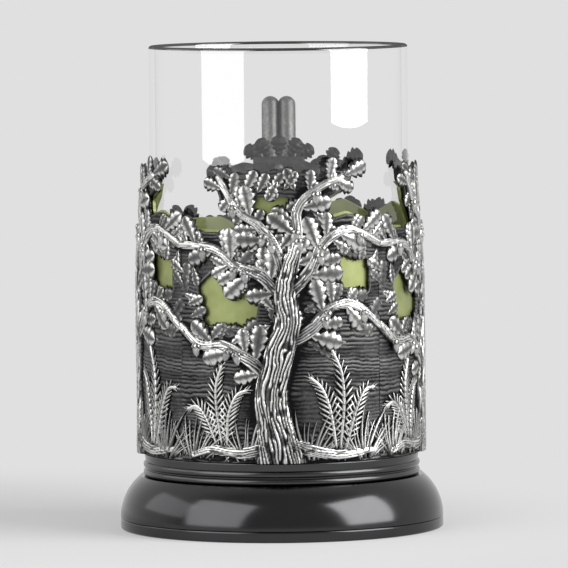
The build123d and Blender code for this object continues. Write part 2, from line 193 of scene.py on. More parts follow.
# Polish of the plate: all over, and how much more where it stands over its near and wide surroundings
PLATE_POLISH = 0.26
NEAR_CELLS = 3
NEAR_POLISH = 1.3
WIDE_CELLS = 12
WIDE_POLISH = 0.34
BACK_POLISH = 0.2

# Leaves, ferns, acorns and grass, with how far they keep from the rear panel's plain strip
LEAF_LENGTH_MM = 10.8
LEAF_WIDTH_MM = 7.6
LEAF_SPLAY = 52.0
LEAF_SHRINK = 0.25
SMALL_LEAF = 0.78
LEAF_ROOT_DEPTH_MM = 0.3
LEAF_TIP_SHARE = 0.9
LEAF_OVERLAP_MM = 3.0
LEAF_STRIP_GAP_MM = 2.5
FRINGE_STEP_MM = 3.4
CANOPY_STEP_MM = 5.0
CANOPY_LOW = 0.40
CREST_TILTS = (-58, -30, 0, 30, 58)
CREST_REACH_MM = 4.5
LEAFLET_LENGTH_MM = 3.0
LEAFLET_HALF_MM = 0.52
LEAFLET_RISE_MM = 0.55
LEAFLET_PAIRS = 13
FERN_STRIP_GAP_MM = 3.0
ACORN_LENGTH_MM = 4.6
ACORN_SIZE = 0.82
# Places of the acorns along a bough, with the degrees that each hangs from upright
ACORNS = [(0.40, 168), (0.46, 200), (0.78, 175)]
BLADE_LENGTH_MM = 5.2
BLADE_HALF_MM = 0.42
BLADE_TIP_MM = 0.03
BLADE_RISE_MM = 0.5
BLADE_BEND_MM = 1.1
BLADE_STEP_MM = 0.9
BLADES_TOGETHER = 2
BLADE_LIFT_MM = 0.1
BLADE_RUBBED = 1.0
TUFTS = [-0.82, -0.27, 0.27, 0.80]
TUFT_BLADES = 13
TUFT_TILT = 52
TUFT_LIFT_MM = 0.15
TUFT_RUBBED = 0.95
# How far a blade of a tuft stands aside for each degree of its tilt
TUFT_SPREAD_MM = 0.06
GRASS_STRIP_GAP_MM = 4.0

# Noise on a lattice: odd factors that scramble its corners, and the least height in a groove
SCRAMBLE_ACROSS = 127.1
SCRAMBLE_UP = 311.7
SCRAMBLE_SEED = 74.7
SCRAMBLE_SPREAD = 43758.5453
GROOVE_FLOOR = 1e-6

# Seeds of what is random
FURROW_SEED = 3
WORKED_SEED = 6
BOUGH_SEED = 11
ROOT_SEED = 31
TRUNK_SEED = 41
LEAF_SEED = 7
REAR_LEAF_SEED = 23
GRASS_SEED = 19

GROUND_INSIDE_MM = (LINER_HIGH.x + SOLDER_GAP) / MM
GROUND_RADIUS_MM = GROUND_INSIDE_MM + GROUND_THICKNESS_MM
PANEL_BOTTOM_MM = NECK_HIGH.z / MM
PANEL_TOP_MM = LINER_HIGH.z / MM + LINER_DROP_MM
PANEL_HEIGHT_MM = PANEL_TOP_MM - PANEL_BOTTOM_MM
PANEL_HALF_MM = GROUND_RADIUS_MM * math.pi / PANEL_COUNT

# Wood: places across and up a panel as shares of its half width and height, each with the half
# thickness of the wood there in millimetres. These are the routes of the solid relief.
TRUNK = [(0.00, 0.00, 6.6), (-0.05, 0.11, 5.0), (-0.09, 0.23, 4.3), (-0.02, 0.36, 3.9),
         (0.07, 0.48, 3.4), (0.04, 0.58, 2.8)]
LEADER = [(0.07, 0.66, 2.0), (0.15, 0.74, 1.4)]
ROOTS = [
    [(-0.10, 0.06, 2.2), (-0.34, 0.035, 1.8), (-0.62, 0.045, 1.4), (-0.85, 0.025, 1.0)],
    [(0.10, 0.06, 2.2), (0.31, 0.04, 1.8), (0.55, 0.025, 1.4), (0.88, 0.035, 1.0)],
]
# Boughs in the same shares, and how many main leaves each one carries.
BOUGHS = [
    ([(-0.07, 0.28, 2.1), (-0.28, 0.35, 1.8), (-0.52, 0.40, 1.5), (-0.76, 0.40, 1.3),
      (-1.0, 0.46, 1.1)], 5),
    ([(0.02, 0.40, 2.0), (0.27, 0.45, 1.8), (0.48, 0.53, 1.5), (0.72, 0.53, 1.3),
      (1.0, 0.46, 1.1)], 5),
    ([(0.04, 0.55, 1.9), (-0.17, 0.64, 1.7), (-0.41, 0.67, 1.5), (-0.62, 0.73, 1.3),
      (-1.0, 0.74, 1.0)], 6),
    ([(0.06, 0.57, 1.9), (0.28, 0.66, 1.7), (0.41, 0.75, 1.5), (0.65, 0.79, 1.3),
      (1.0, 0.74, 1.0)], 5),
    ([(0.04, 0.58, 1.9), (-0.03, 0.72, 1.6), (-0.20, 0.81, 1.4), (-0.41, 0.87, 1.2),
      (-0.56, 0.97, 0.9)], 5),
    ([(0.05, 0.58, 1.9), (0.16, 0.74, 1.6), (0.16, 0.86, 1.4), (0.34, 0.93, 1.2),
      (0.58, 0.97, 0.9)], 5),
]
# Fern fronds in the same shares, with the half width of the frond.
FERNS = [
    [(-0.50, 0.06, 0.7), (-0.49, 0.16, 2.2), (-0.41, 0.23, 1.8), (-0.31, 0.25, 0.6)],
    [(-0.55, 0.06, 0.7), (-0.60, 0.17, 2.3), (-0.61, 0.26, 1.9), (-0.55, 0.33, 0.6)],
    [(-0.60, 0.06, 0.7), (-0.71, 0.15, 2.2), (-0.81, 0.19, 1.8), (-0.92, 0.18, 0.6)],
    [(0.51, 0.05, 0.7), (0.46, 0.17, 2.2), (0.38, 0.25, 1.8), (0.27, 0.29, 0.6)],
    [(0.55, 0.05, 0.7), (0.59, 0.19, 2.3), (0.57, 0.30, 1.9), (0.48, 0.38, 0.6)],
    [(0.61, 0.05, 0.7), (0.71, 0.17, 2.2), (0.81, 0.24, 1.8), (0.92, 0.25, 0.6)],
]
# Corners of the windows in the same shares. Those past a share of 1 are notches in the upper edge.
WINDOWS = [
    [(-0.25, 0.715), (-0.60, 0.785), (-1.04, 0.785), (-1.04, 1.06), (-0.71, 1.06), (-0.54, 0.88),
     (-0.33, 0.80)],
    [(0.45, 0.825), (0.66, 0.845), (1.04, 0.785), (1.04, 1.06), (0.72, 1.06), (0.66, 0.935),
     (0.43, 0.89)],
    [(-0.24, 0.445), (-0.50, 0.465), (-0.74, 0.47), (-0.80, 0.60), (-0.62, 0.655), (-0.42, 0.605),
     (-0.19, 0.565)],
    [(0.36, 0.585), (0.62, 0.595), (0.88, 0.56), (0.88, 0.68), (0.66, 0.725), (0.50, 0.70)],
    [(0.03, 0.765), (0.085, 0.85), (0.12, 0.905), (-0.26, 0.905), (-0.27, 0.875), (-0.12, 0.825)],
]


# Node tree helpers


def feed(tree, node, values):
    """Sets a node's inputs. A value that is a socket is linked."""
    for key, value in values.items():
        if isinstance(value, bpy.types.NodeSocket):
            tree.links.new(value, node.inputs[key])
        else:
            node.inputs[key].default_value = value


def add(tree, kind, settings=None, inputs=None):
    """A new node with its settings and inputs."""
    made = tree.nodes.new(kind)
    for key, value in (settings or {}).items():
        setattr(made, key, value)
    feed(tree, made, inputs or {})
    return made


def group_tree(name, kind, inputs, outputs):
    """A new node group with named sockets, and its input and output nodes."""
    tree = bpy.data.node_groups.new(name, kind)
    for in_out, sockets in (("INPUT", inputs), ("OUTPUT", outputs)):
        for socket, content in sockets.items():
            tree.interface.new_socket(socket, in_out=in_out, socket_type=f"NodeSocket{content}")
    return tree, add(tree, "NodeGroupInput"), add(tree, "NodeGroupOutput")


def math_node(tree, operation, first, second=0.0, clamp=False):
    """The result socket of one sum."""
    settings = {"operation": operation, "use_clamp": clamp}
    return add(tree, "ShaderNodeMath", settings, {0: first, 1: second}).outputs[0]


def centred(tree, value):
    """A value from 0 to 1 moved to lie about 0."""
    return math_node(tree, "SUBTRACT", value, 0.5)


def ramp(tree, value, low, high, start=0.0, end=1.0):
    """A value eased from one range to another."""
    settings = {"interpolation_type": "SMOOTHSTEP"}
    inputs = {"Value": value, "From Min": low, "From Max": high, "To Min": start, "To Max": end}
    return add(tree, "ShaderNodeMapRange", settings, inputs).outputs["Result"]


def blend_colour(tree, factor, first, second):
    """One colour mixed into another."""
    inputs = {0: factor, 6: first, 7: second}
    return add(tree, "ShaderNodeMix", {"data_type": "RGBA"}, inputs).outputs[2]


def noise(tree, coordinate, scale, detail):
    """A noise value on a coordinate."""
    inputs = {"Vector": coordinate, "Scale": scale, "Detail": detail, "Roughness": NOISE_ROUGHNESS}
    return add(tree, "ShaderNodeTexNoise", None, inputs).outputs[0]


def object_place(tree):
    """The place on the object, in metres."""
    return add(tree, "ShaderNodeTexCoord").outputs["Object"]


def split(tree, vector):
    """The node that gives the parts of a vector."""
    return add(tree, "ShaderNodeSeparateXYZ", None, {0: vector})


def bump(tree, height, strength, distance):
    """The normal of a surface with fine marks of some depth."""
    inputs = {"Height": height, "Strength": strength, "Distance": distance}
    return add(tree, "ShaderNodeBump", None, inputs).outputs["Normal"]


def grey(value):
    """A neutral colour."""
    return (value, value, value, 1.0)


# Shared surface effects


def patina_group():
    """Blackened silver: dark in the hollows, rubbed bright on the high points."""
    tree, source, sink = group_tree("silver_patina", "ShaderNodeTree",
                                    {"Polish": "Float", "Wear": "Float"},
                                    {"Color": "Color", "Roughness": "Float", "Height": "Float"})
    place = object_place(tree)
    cloud = noise(tree, place, CLOUD_SCALE, detail=4.0)
    grain = noise(tree, place, GRAIN_SCALE, detail=3.0)
    worn = math_node(tree, "MULTIPLY", centred(tree, cloud), source.outputs["Wear"])
    rubbed = math_node(tree, "ADD", source.outputs["Polish"], worn, clamp=True)
    fine = math_node(tree, "MULTIPLY", centred(tree, grain), GRAIN_POLISH)
    rubbed = math_node(tree, "ADD", rubbed, fine, clamp=True)
    shade = blend_colour(tree, ramp(tree, rubbed, *GREY_POLISH), SILVER_BLACK, SILVER_GREY)
    bright = ramp(tree, rubbed, *BRIGHT_POLISH)
    colour = blend_colour(tree, bright, shade, SILVER_BRIGHT)
    rough = ramp(tree, bright, 0.0, 1.0, DULL_ROUGHNESS, BRIGHT_ROUGHNESS)
    rough = math_node(tree, "ADD", rough, math_node(tree, "MULTIPLY", grain, GRAIN_ROUGHNESS))
    feed(tree, sink, {"Color": colour, "Roughness": rough, "Height": grain})
    return tree


def handling_group():
    """Faint rub marks and smears of a handled polished surface."""
    tree, source, sink = group_tree("handling_marks", "ShaderNodeTree",
                                    {"Roughness": "Float", "Spread": "Float", "Smear Scale": "Float"},
                                    {"Roughness": "Float", "Mottle": "Float", "Height": "Float"})
    place = object_place(tree)
    smear = noise(tree, place, source.outputs["Smear Scale"], detail=4.0)
    stretched = add(tree, "ShaderNodeMapping", None, {"Vector": place, "Scale": LINE_SCALE})
    lines = noise(tree, stretched.outputs["Vector"], 1.0, detail=2.0)
    smeared = math_node(tree, "MULTIPLY", smear, SMEAR_SHARE)
    marks = math_node(tree, "ADD", smeared, math_node(tree, "MULTIPLY", lines, LINE_SHARE))
    spread = math_node(tree, "MULTIPLY", centred(tree, marks), source.outputs["Spread"])
    rough = math_node(tree, "ADD", source.outputs["Roughness"], spread)
    feed(tree, sink, {"Roughness": rough, "Mottle": smear, "Height": lines})
    return tree


PATINA = patina_group()
HANDLING = handling_group()


# Finishes


def blank_material(name):
    """A material with only a surface shader, its tree and that shader."""
    material = bpy.data.materials.new(name)
    material.use_nodes = True
    tree = material.node_tree
    return material, tree, tree.nodes["Principled BSDF"]


def silver_material(name, wear, polish=None, groove=None):
    """Blackened silver. Its polish is a number, is lower in a groove along the middle, or is the
    piece's own attribute."""
    material, tree, shader = blank_material(name)
    if groove is not None:
        aside = math_node(tree, "ABSOLUTE", split(tree, object_place(tree)).outputs["X"])
        polish = ramp(tree, aside, *GROOVE_EDGES, groove, polish)
    elif polish is None:
        polish = add(tree, "ShaderNodeAttribute", {"attribute_name": "polish"}).outputs["Fac"]
    group = add(tree, "ShaderNodeGroup", {"node_tree": PATINA}, {"Polish": polish, "Wear": wear})
    feed(tree, shader, {
        "Base Color": group.outputs["Color"],
        "Roughness": group.outputs["Roughness"],
        "Metallic": 1.0,
        "Normal": bump(tree, group.outputs["Height"], GRAIN_BUMP, GRAIN_DEPTH),
    })
    return material


def polished_material(name, dark, light, roughness, spread, metallic=1.0, smears=60.0):
    """A polished metal between two close colours, with handling marks."""
    material, tree, shader = blank_material(name)
    inputs = {"Roughness": roughness, "Spread": spread, "Smear Scale": smears}
    group = add(tree, "ShaderNodeGroup", {"node_tree": HANDLING}, inputs)
    feed(tree, shader, {
        "Base Color": blend_colour(tree, group.outputs["Mottle"], dark, light),
        "Roughness": group.outputs["Roughness"],
        "Metallic": metallic,
        "Normal": bump(tree, group.outputs["Height"], LINE_BUMP, LINE_DEPTH),
    })
    return material


def glass_material():
    """Clear glass. Only its base bends light. The thin wall mirrors at the first face that is met and
    lets the view pass, a little darker at its edges. The lip is painted dark, a painted shade that
    stands in for the dark that a rim shows by bending light, with an even gleam."""
    material, tree, shader = blank_material("clear_glass")
    feed(tree, shader, {"Base Color": GLASS_TINT, "Roughness": 0.0, "IOR": GLASS_IOR,
                        "Transmission Weight": 1.0})
    height = split(tree, object_place(tree)).outputs["Z"]
    lip = ramp(tree, height, LIP_START, LIP_FULL)
    above_base = ramp(tree, height, BASE_END, WALL_START)
    path = add(tree, "ShaderNodeLightPath")
    shadow = path.outputs["Is Shadow Ray"]
    wall = math_node(tree, "SUBTRACT", above_base, path.outputs["Is Transmission Ray"], clamp=True)
    facing = add(tree, "ShaderNodeLayerWeight").outputs["Facing"]
    edge = math_node(tree, "POWER", facing, EDGE_POWER)
    edge = math_node(tree, "SUBTRACT", edge, lip, clamp=True)
    glance = math_node(tree, "MULTIPLY", edge, 1.0 - PLAIN_GLEAM)
    gleam = math_node(tree, "ADD", glance, ramp(tree, lip, 0.0, 1.0, PLAIN_GLEAM, LIP_GLEAM))
    first_face = math_node(tree, "SUBTRACT", 1.0, path.outputs["Transparent Depth"], clamp=True)
    gleam = math_node(tree, "MULTIPLY", gleam, first_face)
    gleam = math_node(tree, "SUBTRACT", gleam, shadow, clamp=True)
    # Painted shade: the lip's film is darkened to stand in for the dark that the rim's bending of light
    # gives
    dark = math_node(tree, "SUBTRACT", lip, shadow, clamp=True)
    passed = ramp(tree, edge, 0.0, 1.0, 1.0, 1.0 - EDGE_TINT)
    passed = math_node(tree, "MULTIPLY", passed, ramp(tree, dark, 0.0, 1.0, 1.0, LIP_PAINTED_SHADE))
    clear = add(tree, "ShaderNodeBsdfTransparent", None, {"Color": passed})
    mirror = add(tree, "ShaderNodeBsdfAnisotropic", None, {"Color": grey(1.0), "Roughness": 0.0})
    thin = add(tree, "ShaderNodeMixShader", None, {0: gleam, 1: clear.outputs[0], 2: mirror.outputs[0]})
    share = math_node(tree, "MAXIMUM", wall, shadow)
    mixed = add(tree, "ShaderNodeMixShader", None, {0: share, 1: shader.outputs[0], 2: thin.outputs[0]})
    feed(tree, tree.nodes["Material Output"], {"Surface": mixed.outputs[0]})
    return material


RELIEF_SILVER = silver_material("relief_silver", wear=0.35)
HANDLE_SILVER = silver_material("handle_silver", wear=0.12, polish=0.46, groove=0.12)
LUG_SILVER = silver_material("lug_silver", wear=0.2, polish=0.42)
GILDING = polished_material("pale_gilding", dark=(0.20, 0.23, 0.075, 1), light=(0.43, 0.47, 0.20, 1),
                            roughness=0.45, spread=0.4, metallic=0.55, smears=230.0)
DARK_NICKEL = polished_material("dark_nickel", dark=(0.050, 0.050, 0.052, 1),
                                light=(0.070, 0.070, 0.072, 1), roughness=0.16, spread=0.1)
# Painted light: the foot's dark nickel again, made lighter for the neck band to stand in for the brighter
# light that the band catches
NECK_NICKEL_PAINTED_LIGHTER = polished_material("neck_nickel_painted_lighter", dark=(0.062, 0.062, 0.063, 1),
                                light=(0.092, 0.092, 0.093, 1), roughness=0.22, spread=0.12)
SCREW_STEEL = polished_material("turned_steel", dark=(0.30, 0.30, 0.31, 1), light=(0.50, 0.50, 0.50, 1),
                                roughness=0.35, spread=0.2)
CLEAR_GLASS = glass_material()


# Mesh helpers


def link_object(name, data):
    """A new object at the scene's origin."""
    made = bpy.data.objects.new(name, data)
    bpy.context.scene.collection.objects.link(made)
    return made


def shade_smooth(mesh):
    """Smooth shading of every face."""
    mesh.polygons.foreach_set("use_smooth", np.ones(len(mesh.polygons), dtype=bool))


def finish_mesh(mesh):
    """Smooth shading that is sharp only at real edges."""
    shade_smooth(mesh)
    mesh.set_sharp_from_angle(angle=SHARP_ANGLE)
    mesh.update()


def mesh_object(name, points, faces, material):
    """A finished mesh object at the origin."""
    mesh = bpy.data.meshes.new(name)
    mesh.from_pydata([tuple(point) for point in points], [], [tuple(face) for face in faces])
    mesh.materials.append(material)
    finish_mesh(mesh)
    return link_object(name, mesh)


def polished_mesh(name, points, faces, polish):
    """A smooth mesh with the polish of each point as an attribute."""
    mesh = bpy.data.meshes.new(name)
    mesh.from_pydata(points, [], faces)
    layer = mesh.attributes.new("polish", "FLOAT", "POINT")
    layer.data.foreach_set("value", np.asarray(polish, dtype=np.float32))
    shade_smooth(mesh)
    mesh.update()
    return mesh


def turn_outwards(mesh, merge=0.0):
    """Faces of a closed shell turned outwards, after its doubles are merged."""
    work = bmesh.new()
    work.from_mesh(mesh)
    if merge:
        bmesh.ops.remove_doubles(work, verts=work.verts, dist=merge)
    bmesh.ops.recalc_face_normals(work, faces=work.faces)
    work.to_mesh(mesh)
    work.free()


def ring_faces(rings, closed=False):
    """Faces from each ring of points to the next. A ring of one repeated point is a pole."""
    pairs = list(zip(rings, rings[1:]))
    if closed:
        pairs.append((rings[-1], rings[0]))
    faces = []
    for lower, upper in pairs:
        for step in range(len(lower)):
            following = (step + 1) % len(lower)
            corners = [lower[step], lower[following], upper[following], upper[step]]
            faces.append(list(dict.fromkeys(corners)))
    return faces


def arc(centre, radius, start, end, steps=ARC_STEPS):
    """Points on an arc between two angles in degrees."""
    turns = np.radians(np.linspace(start, end, steps + 1))
    return [(centre[0] + radius * math.cos(turn), centre[1] + radius * math.sin(turn)) for turn in turns]


def lathe(name, outline, material):
    """An outline of (radius, height) points turned about the upright axis into a closed shell."""
    turns = np.linspace(0, 2 * math.pi, LATHE_SEGMENTS, endpoint=False)
    points = []
    rings = []
    for radius, height in outline:
        start = len(points)
        if radius > 0:
            points += [(radius * math.sin(turn), -radius * math.cos(turn), height) for turn in turns]
            rings.append([start + step for step in range(LATHE_SEGMENTS)])
        else:
            points.append((0, 0, height))
            rings.append([start] * LATHE_SEGMENTS)
    made = mesh_object(name, points, ring_faces(rings, closed=outline[0][0] > 0), material)
    turn_outwards(made.data)
    finish_mesh(made.data)
    return made


def stands_for(piece, node, body):
    """Puts a piece in a node's place."""
    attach(piece, body)
    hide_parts(node)


# Turned pieces


def tea_glass():
    """A straight tumbler with a round lip and heel. The rings near its ends keep the wall straight."""
    radius = GLASS_HIGH.x
    low = GLASS_LOW.z
    high = GLASS_HIGH.z
    inside = radius - GLASS_WALL
    floor_top = low + GLASS_BOTTOM
    near_lip = [high - 3 * LIP_ROUND, high - 2 * LIP_ROUND]
    outline = [(0, low)]
    outline += arc((radius - GLASS_HEEL, low + GLASS_HEEL), GLASS_HEEL, -90, 0)
    outline += [(radius, height) for height in (low + 2 * GLASS_HEEL, low + 3 * GLASS_HEEL, *near_lip)]
    outline += arc((radius - LIP_ROUND, high - LIP_ROUND), LIP_ROUND, 0, 180, 2 * ARC_STEPS)
    near_floor = [floor_top + 3 * GLASS_HEEL, floor_top + 2 * GLASS_HEEL]
    outline += [(inside, height) for height in (*reversed(near_lip), *near_floor)]
    outline += arc((inside - GLASS_HEEL, floor_top + GLASS_HEEL), GLASS_HEEL, 0, -90)
    outline += [(0, floor_top)]
    piece = lathe("tea_glass_clear", outline, CLEAR_GLASS)
    stands_for(piece, "tea_glass", "glass")


def flared_foot():
    """A convex shell with a flat flange inside its top."""
    outside = RIM_HIGH.x
    low = FOOT_LOW.z
    high = FOOT_HIGH.z
    flare = outside - (NECK_HIGH.x + FOOT_SHOULDER)
    rise = high - low
    bend = (flare ** 2 + rise ** 2) / (2 * flare)
    centre = (outside - bend, low)
    top = math.degrees(math.asin(rise / bend))
    under = high - FOOT_WALL
    inner_top = math.degrees(math.asin((under - low) / (bend - FOOT_WALL)))
    flange = LINER_HIGH.x - LINER_WALL - FLANGE_WIDTH
    outline = arc(centre, bend, 0, top, 3 * ARC_STEPS)
    outline += [(flange, high), (flange, under)]
    outline += arc(centre, bend - FOOT_WALL, inner_top, 0, 2 * ARC_STEPS)
    stands_for(lathe("flared_foot", outline, DARK_NICKEL), "foot", "holder")


def standing_ring():
    """The ring under the foot, with its outer edges rounded."""
    outside = RIM_HIGH.x
    inside = outside - RIM_WIDTH
    corner = outside - RIM_ROUND
    outline = [(inside, 0), *arc((corner, RIM_ROUND), RIM_ROUND, -90, 0)]
    outline += arc((corner, RIM_HIGH.z - RIM_ROUND), RIM_ROUND, 0, 90) + [(inside, RIM_HIGH.z)]
    stands_for(lathe("standing_ring", outline, DARK_NICKEL), "foot_rim", "holder")


def neck_ring():
    """The band over the foot: beads below, and a plain stretch set back above them."""
    outside = NECK_HIGH.x
    inside = outside - NECK_THICKNESS
    plain = outside - NECK_STEP
    outline = [(inside, NECK_LOW.z)]
    for number in range(NECK_BEADS):
        height = NECK_LOW.z + (2 * number + 1) * BEAD_ROUND
        outline += arc((outside - BEAD_ROUND, height), BEAD_ROUND, -BEAD_SWEEP, BEAD_SWEEP)
    outline += arc((plain - NECK_ROUND, NECK_HIGH.z - NECK_ROUND), NECK_ROUND, 0, 90)
    outline += [(inside, NECK_HIGH.z)]
    # The band's finish is the lighter copy of the dark nickel, painted light
    stands_for(lathe("neck_ring", outline, NECK_NICKEL_PAINTED_LIGHTER), "neck_band", "holder")


# The relief, worked out on a flat sheet


def eased(value, low, high):
    """A smooth step from 0 to 1."""
    share = np.clip((value - low) / (high - low), 0, 1)
    return share * share * (3 - 2 * share)


def lattice(x, y, seed):
    """Smooth noise from 0 to 1 on a square lattice, the same at every run."""
    left = np.floor(x)
    low = np.floor(y)
    across = eased(x - left, 0, 1)
    up = eased(y - low, 0, 1)

    def corner(i, j):
        """A scrambled value from 0 to 1 at one corner of the square."""
        mixed = (left + i) * SCRAMBLE_ACROSS + (low + j) * SCRAMBLE_UP + seed * SCRAMBLE_SEED
        value = np.sin(mixed) * SCRAMBLE_SPREAD
        return value - np.floor(value)

    lower = corner(0, 0) * (1 - across) + corner(1, 0) * across
    upper = corner(0, 1) * (1 - across) + corner(1, 1) * across
    return lower * (1 - up) + upper * up


def ridges(phase):
    """A wave from 0 in narrow grooves to 1 on broad ridges."""
    return np.sqrt(np.abs((phase - np.floor(phase)) * 2 - 1) + GROOVE_FLOOR)


def strayed(start, along, across, strays, seed):
    """Lines moved from their straight start by waves of noise."""
    for number, (rise, length, width) in enumerate(strays):
        start = start + rise * lattice(along / length, across / width, seed + number)
    return start


def sheet_place(across, up):
    """Flat place in millimetres of a place given in shares of a panel."""
    return across * PANEL_HALF_MM, PANEL_BOTTOM_MM + up * PANEL_HEIGHT_MM


def smooth_route(route):
    """Points (across, up, half thickness) on a smooth curve through a branch's places."""
    places = np.array([(*sheet_place(across, up), half) for across, up, half in route])
    padded = np.vstack([2 * places[0] - places[1], places, 2 * places[-1] - places[-2]])
    points = []
    for before, start, end, after in zip(padded, padded[1:], padded[2:], padded[3:]):
        for share in np.arange(ROUTE_STEPS) / ROUTE_STEPS:
            bend = (2 * before - 5 * start + 4 * end - after) * share ** 2
            bend += (3 * start - before - 3 * end + after) * share ** 3
            points.append(start + 0.5 * ((end - before) * share + bend))
    points.append(places[-1])
    return np.array(points)


def branch(x, z, route):
    """For every point of the sheet: distance from a branch in half thicknesses, and in millimetres
    the distance along it, the distance to its left and its half thickness there."""
    points = smooth_route(route)
    nearest = np.full(x.shape, np.inf)
    along = np.zeros(x.shape)
    aside = np.zeros(x.shape)
    width = np.ones(x.shape)
    walked = 0.0
    for (x0, z0, half), (x1, z1, next_half) in zip(points, points[1:]):
        step_x = x1 - x0
        step_z = z1 - z0
        length = math.hypot(step_x, step_z)
        share = np.clip(((x - x0) * step_x + (z - z0) * step_z) / length ** 2, 0, 1)
        off_x = x - x0 - share * step_x
        off_z = z - z0 - share * step_z
        distance = np.hypot(off_x, off_z)
        local = half + share * (next_half - half)
        ratio = distance / local
        closer = ratio < nearest
        width = np.where(closer, local, width)
        nearest = np.where(closer, ratio, nearest)
        along = np.where(closer, walked + share * length, along)
        aside = np.where(closer, distance * np.sign(step_x * off_z - step_z * off_x), aside)
        walked += length
    return nearest, along, aside, width


def bark(along, aside, pitch, seed):
    """Long split ridges that follow a branch."""
    lines = strayed(aside / pitch, along, aside, BARK_STRAYS, seed)
    whole = eased(lattice(along / BREAK_LENGTH_MM, lines, seed + len(BARK_STRAYS)), *BREAK_LEVELS)
    return ridges(lines) * (BROKEN_SHARE + (1 - BROKEN_SHARE) * whole)


def rounded_outline(corners):
    """Flat outline of a window with its corners rounded by arcs."""
    places = np.array([sheet_place(across, up) for across, up in corners])
    outline = []
    for before, corner, after in zip(np.roll(places, 1, axis=0), places, np.roll(places, -1, axis=0)):
        back = (before - corner) / np.linalg.norm(before - corner)
        on = (after - corner) / np.linalg.norm(after - corner)
        half_angle = math.acos(np.dot(back, on)) / 2
        middle = (back + on) / np.linalg.norm(back + on)
        centre = corner + middle * WINDOW_ROUND_MM / math.sin(half_angle)
        reach = WINDOW_ROUND_MM / math.tan(half_angle)
        for share in np.linspace(0, 1, WINDOW_ARC_POINTS):
            spoke = corner + reach * (back + (on - back) * share) - centre
            outline.append(centre + WINDOW_ROUND_MM * spoke / np.linalg.norm(spoke))
    return np.array(outline)


def outline_gap(x, z, outline):
    """Distance from a closed outline in millimetres, negative inside it."""
    nearest = np.full(x.shape, np.inf)
    inside = np.zeros(x.shape, dtype=bool)
    for (x0, z0), (x1, z1) in zip(outline, np.roll(outline, -1, axis=0)):
        step_x = x1 - x0
        step_z = z1 - z0
        share = ((x - x0) * step_x + (z - z0) * step_z) / (step_x ** 2 + step_z ** 2)
        share = np.clip(share, 0, 1)
        nearest = np.minimum(nearest, np.hypot(x - x0 - share * step_x, z - z0 - share * step_z))
        if step_z:
            inside ^= ((z0 > z) != (z1 > z)) & (x < x0 + (z - z0) / step_z * step_x)
    return np.where(inside, -nearest, nearest)


def top_edge(x):
    """The uneven upper edge of the sheet."""
    height = PANEL_TOP_MM - SKYLINE_DROP_MM
    for rise, length, start in SKYLINE_WAVES:
        height = height + rise * np.cos(x / length + start)
    return height


def blurred(field, cells):
    """The field softened over a number of cells."""
    reach = 2 * cells
    kernel = np.exp(-0.5 * (np.arange(-reach, reach + 1) / cells) ** 2)
    kernel /= kernel.sum()
    padded = np.pad(field, reach, mode="edge")
    for axis in (0, 1):
        padded = np.apply_along_axis(np.convolve, axis, padded, kernel, mode="same")
    return padded[reach:-reach, reach:-reach]


def limbs(has_tree):
    """Every branch of a panel: its route, rise, pitch of its bark and seed."""
    found = [(route, BOUGH_RISE_MM, BOUGH_BARK_MM, BOUGH_SEED + number)
             for number, (route, _) in enumerate(BOUGHS)]
    if has_tree:
        found += [(route, BOUGH_RISE_MM, BOUGH_BARK_MM, ROOT_SEED + number)
                  for number, route in enumerate(ROOTS)]
        found.append((TRUNK + LEADER, TRUNK_RISE_MM, TRUNK_BARK_MM, TRUNK_SEED))
    return found


def metal_depth(x, z, has_tree):
    """How far inside the metal of the sheet a point is, in millimetres. Negative is in the open."""
    depth = top_edge(x) - z
    for corners in WINDOWS:
        depth = np.minimum(depth, outline_gap(x, z, rounded_outline(corners)))
    for route, _ in BOUGHS:
        ratio, _, _, half = branch(x, z, route)
        depth = np.maximum(depth, (1 - ratio) * half)
    if not has_tree:
        depth = np.maximum(depth, np.minimum(STRIP_HALF_MM - np.abs(x), PANEL_TOP_MM - z))
    return depth


def furrowed_ground(x, z):
    """Chased furrows that run round the holder."""
    up = (z - PANEL_BOTTOM_MM) / PANEL_HEIGHT_MM
    lines = strayed(z, x, z, FURROW_STRAYS, FURROW_SEED)
    worked = eased(lattice(x / WORKED_LENGTH_MM, z / WORKED_HEIGHT_MM, WORKED_SEED), *WORKED_LEVELS)
    rise = FURROW_RISE_MM - FURROW_FALL_MM * eased(up, *LEAF_LINE)
    return rise * ridges(lines / FURROW_PITCH_MM) * (FLAT_SHARE + (1 - FLAT_SHARE) * worked)


def relief_height(x, z, depth, has_tree):
    """Height of the relief over its ground, in millimetres."""
    height = furrowed_ground(x, z)
    height = np.maximum(height, EDGE_RISE_MM * np.exp(-((depth - EDGE_INSET_MM) / EDGE_HALF_MM) ** 2))
    for route in FERNS:
        ratio, _, _, half = branch(x, z, route)
        stem = np.clip(1 - (ratio * half / FERN_STEM_HALF_MM) ** 2, 0, 1)
        height = np.maximum(height, FERN_STEM_RISE_MM * np.sqrt(stem))
    for route, rise, pitch, seed in limbs(has_tree):
        ratio, along, aside, half = branch(x, z, route)
        body = np.sqrt(np.clip(1 - ratio ** 2, 0, 1))
        ribs = bark(along, aside, pitch, seed) * eased(body, 0.0, BARK_FADE)
        full = THIN_LIMB_SHARE + (1 - THIN_LIMB_SHARE) * half / FULL_LIMB_HALF_MM
        limb = rise * np.clip(full, 0, 1) * (LIMB_SHARE * body + BARK_SHARE * ribs)
        height = np.where(ratio < 1, np.maximum(height, limb), height)
    if not has_tree:
        edge = np.abs(np.abs(x) - STRIP_HALF_MM)
        height = np.where(np.abs(x) < STRIP_HALF_MM, 0.0, height)
        height = np.maximum(height, STRIP_BEAD_RISE_MM * np.exp(-(edge / STRIP_BEAD_HALF_MM) ** 2))
    return height


def wrapped(x, height, z, radius):
    """Flat places and heights in millimetres set round the upright axis, in metres."""
    turn = np.asarray(x) / GROUND_RADIUS_MM
    out = radius + np.asarray(height)
    return np.column_stack([out * np.sin(turn), -out * np.cos(turn), np.asarray(z)]) * MM


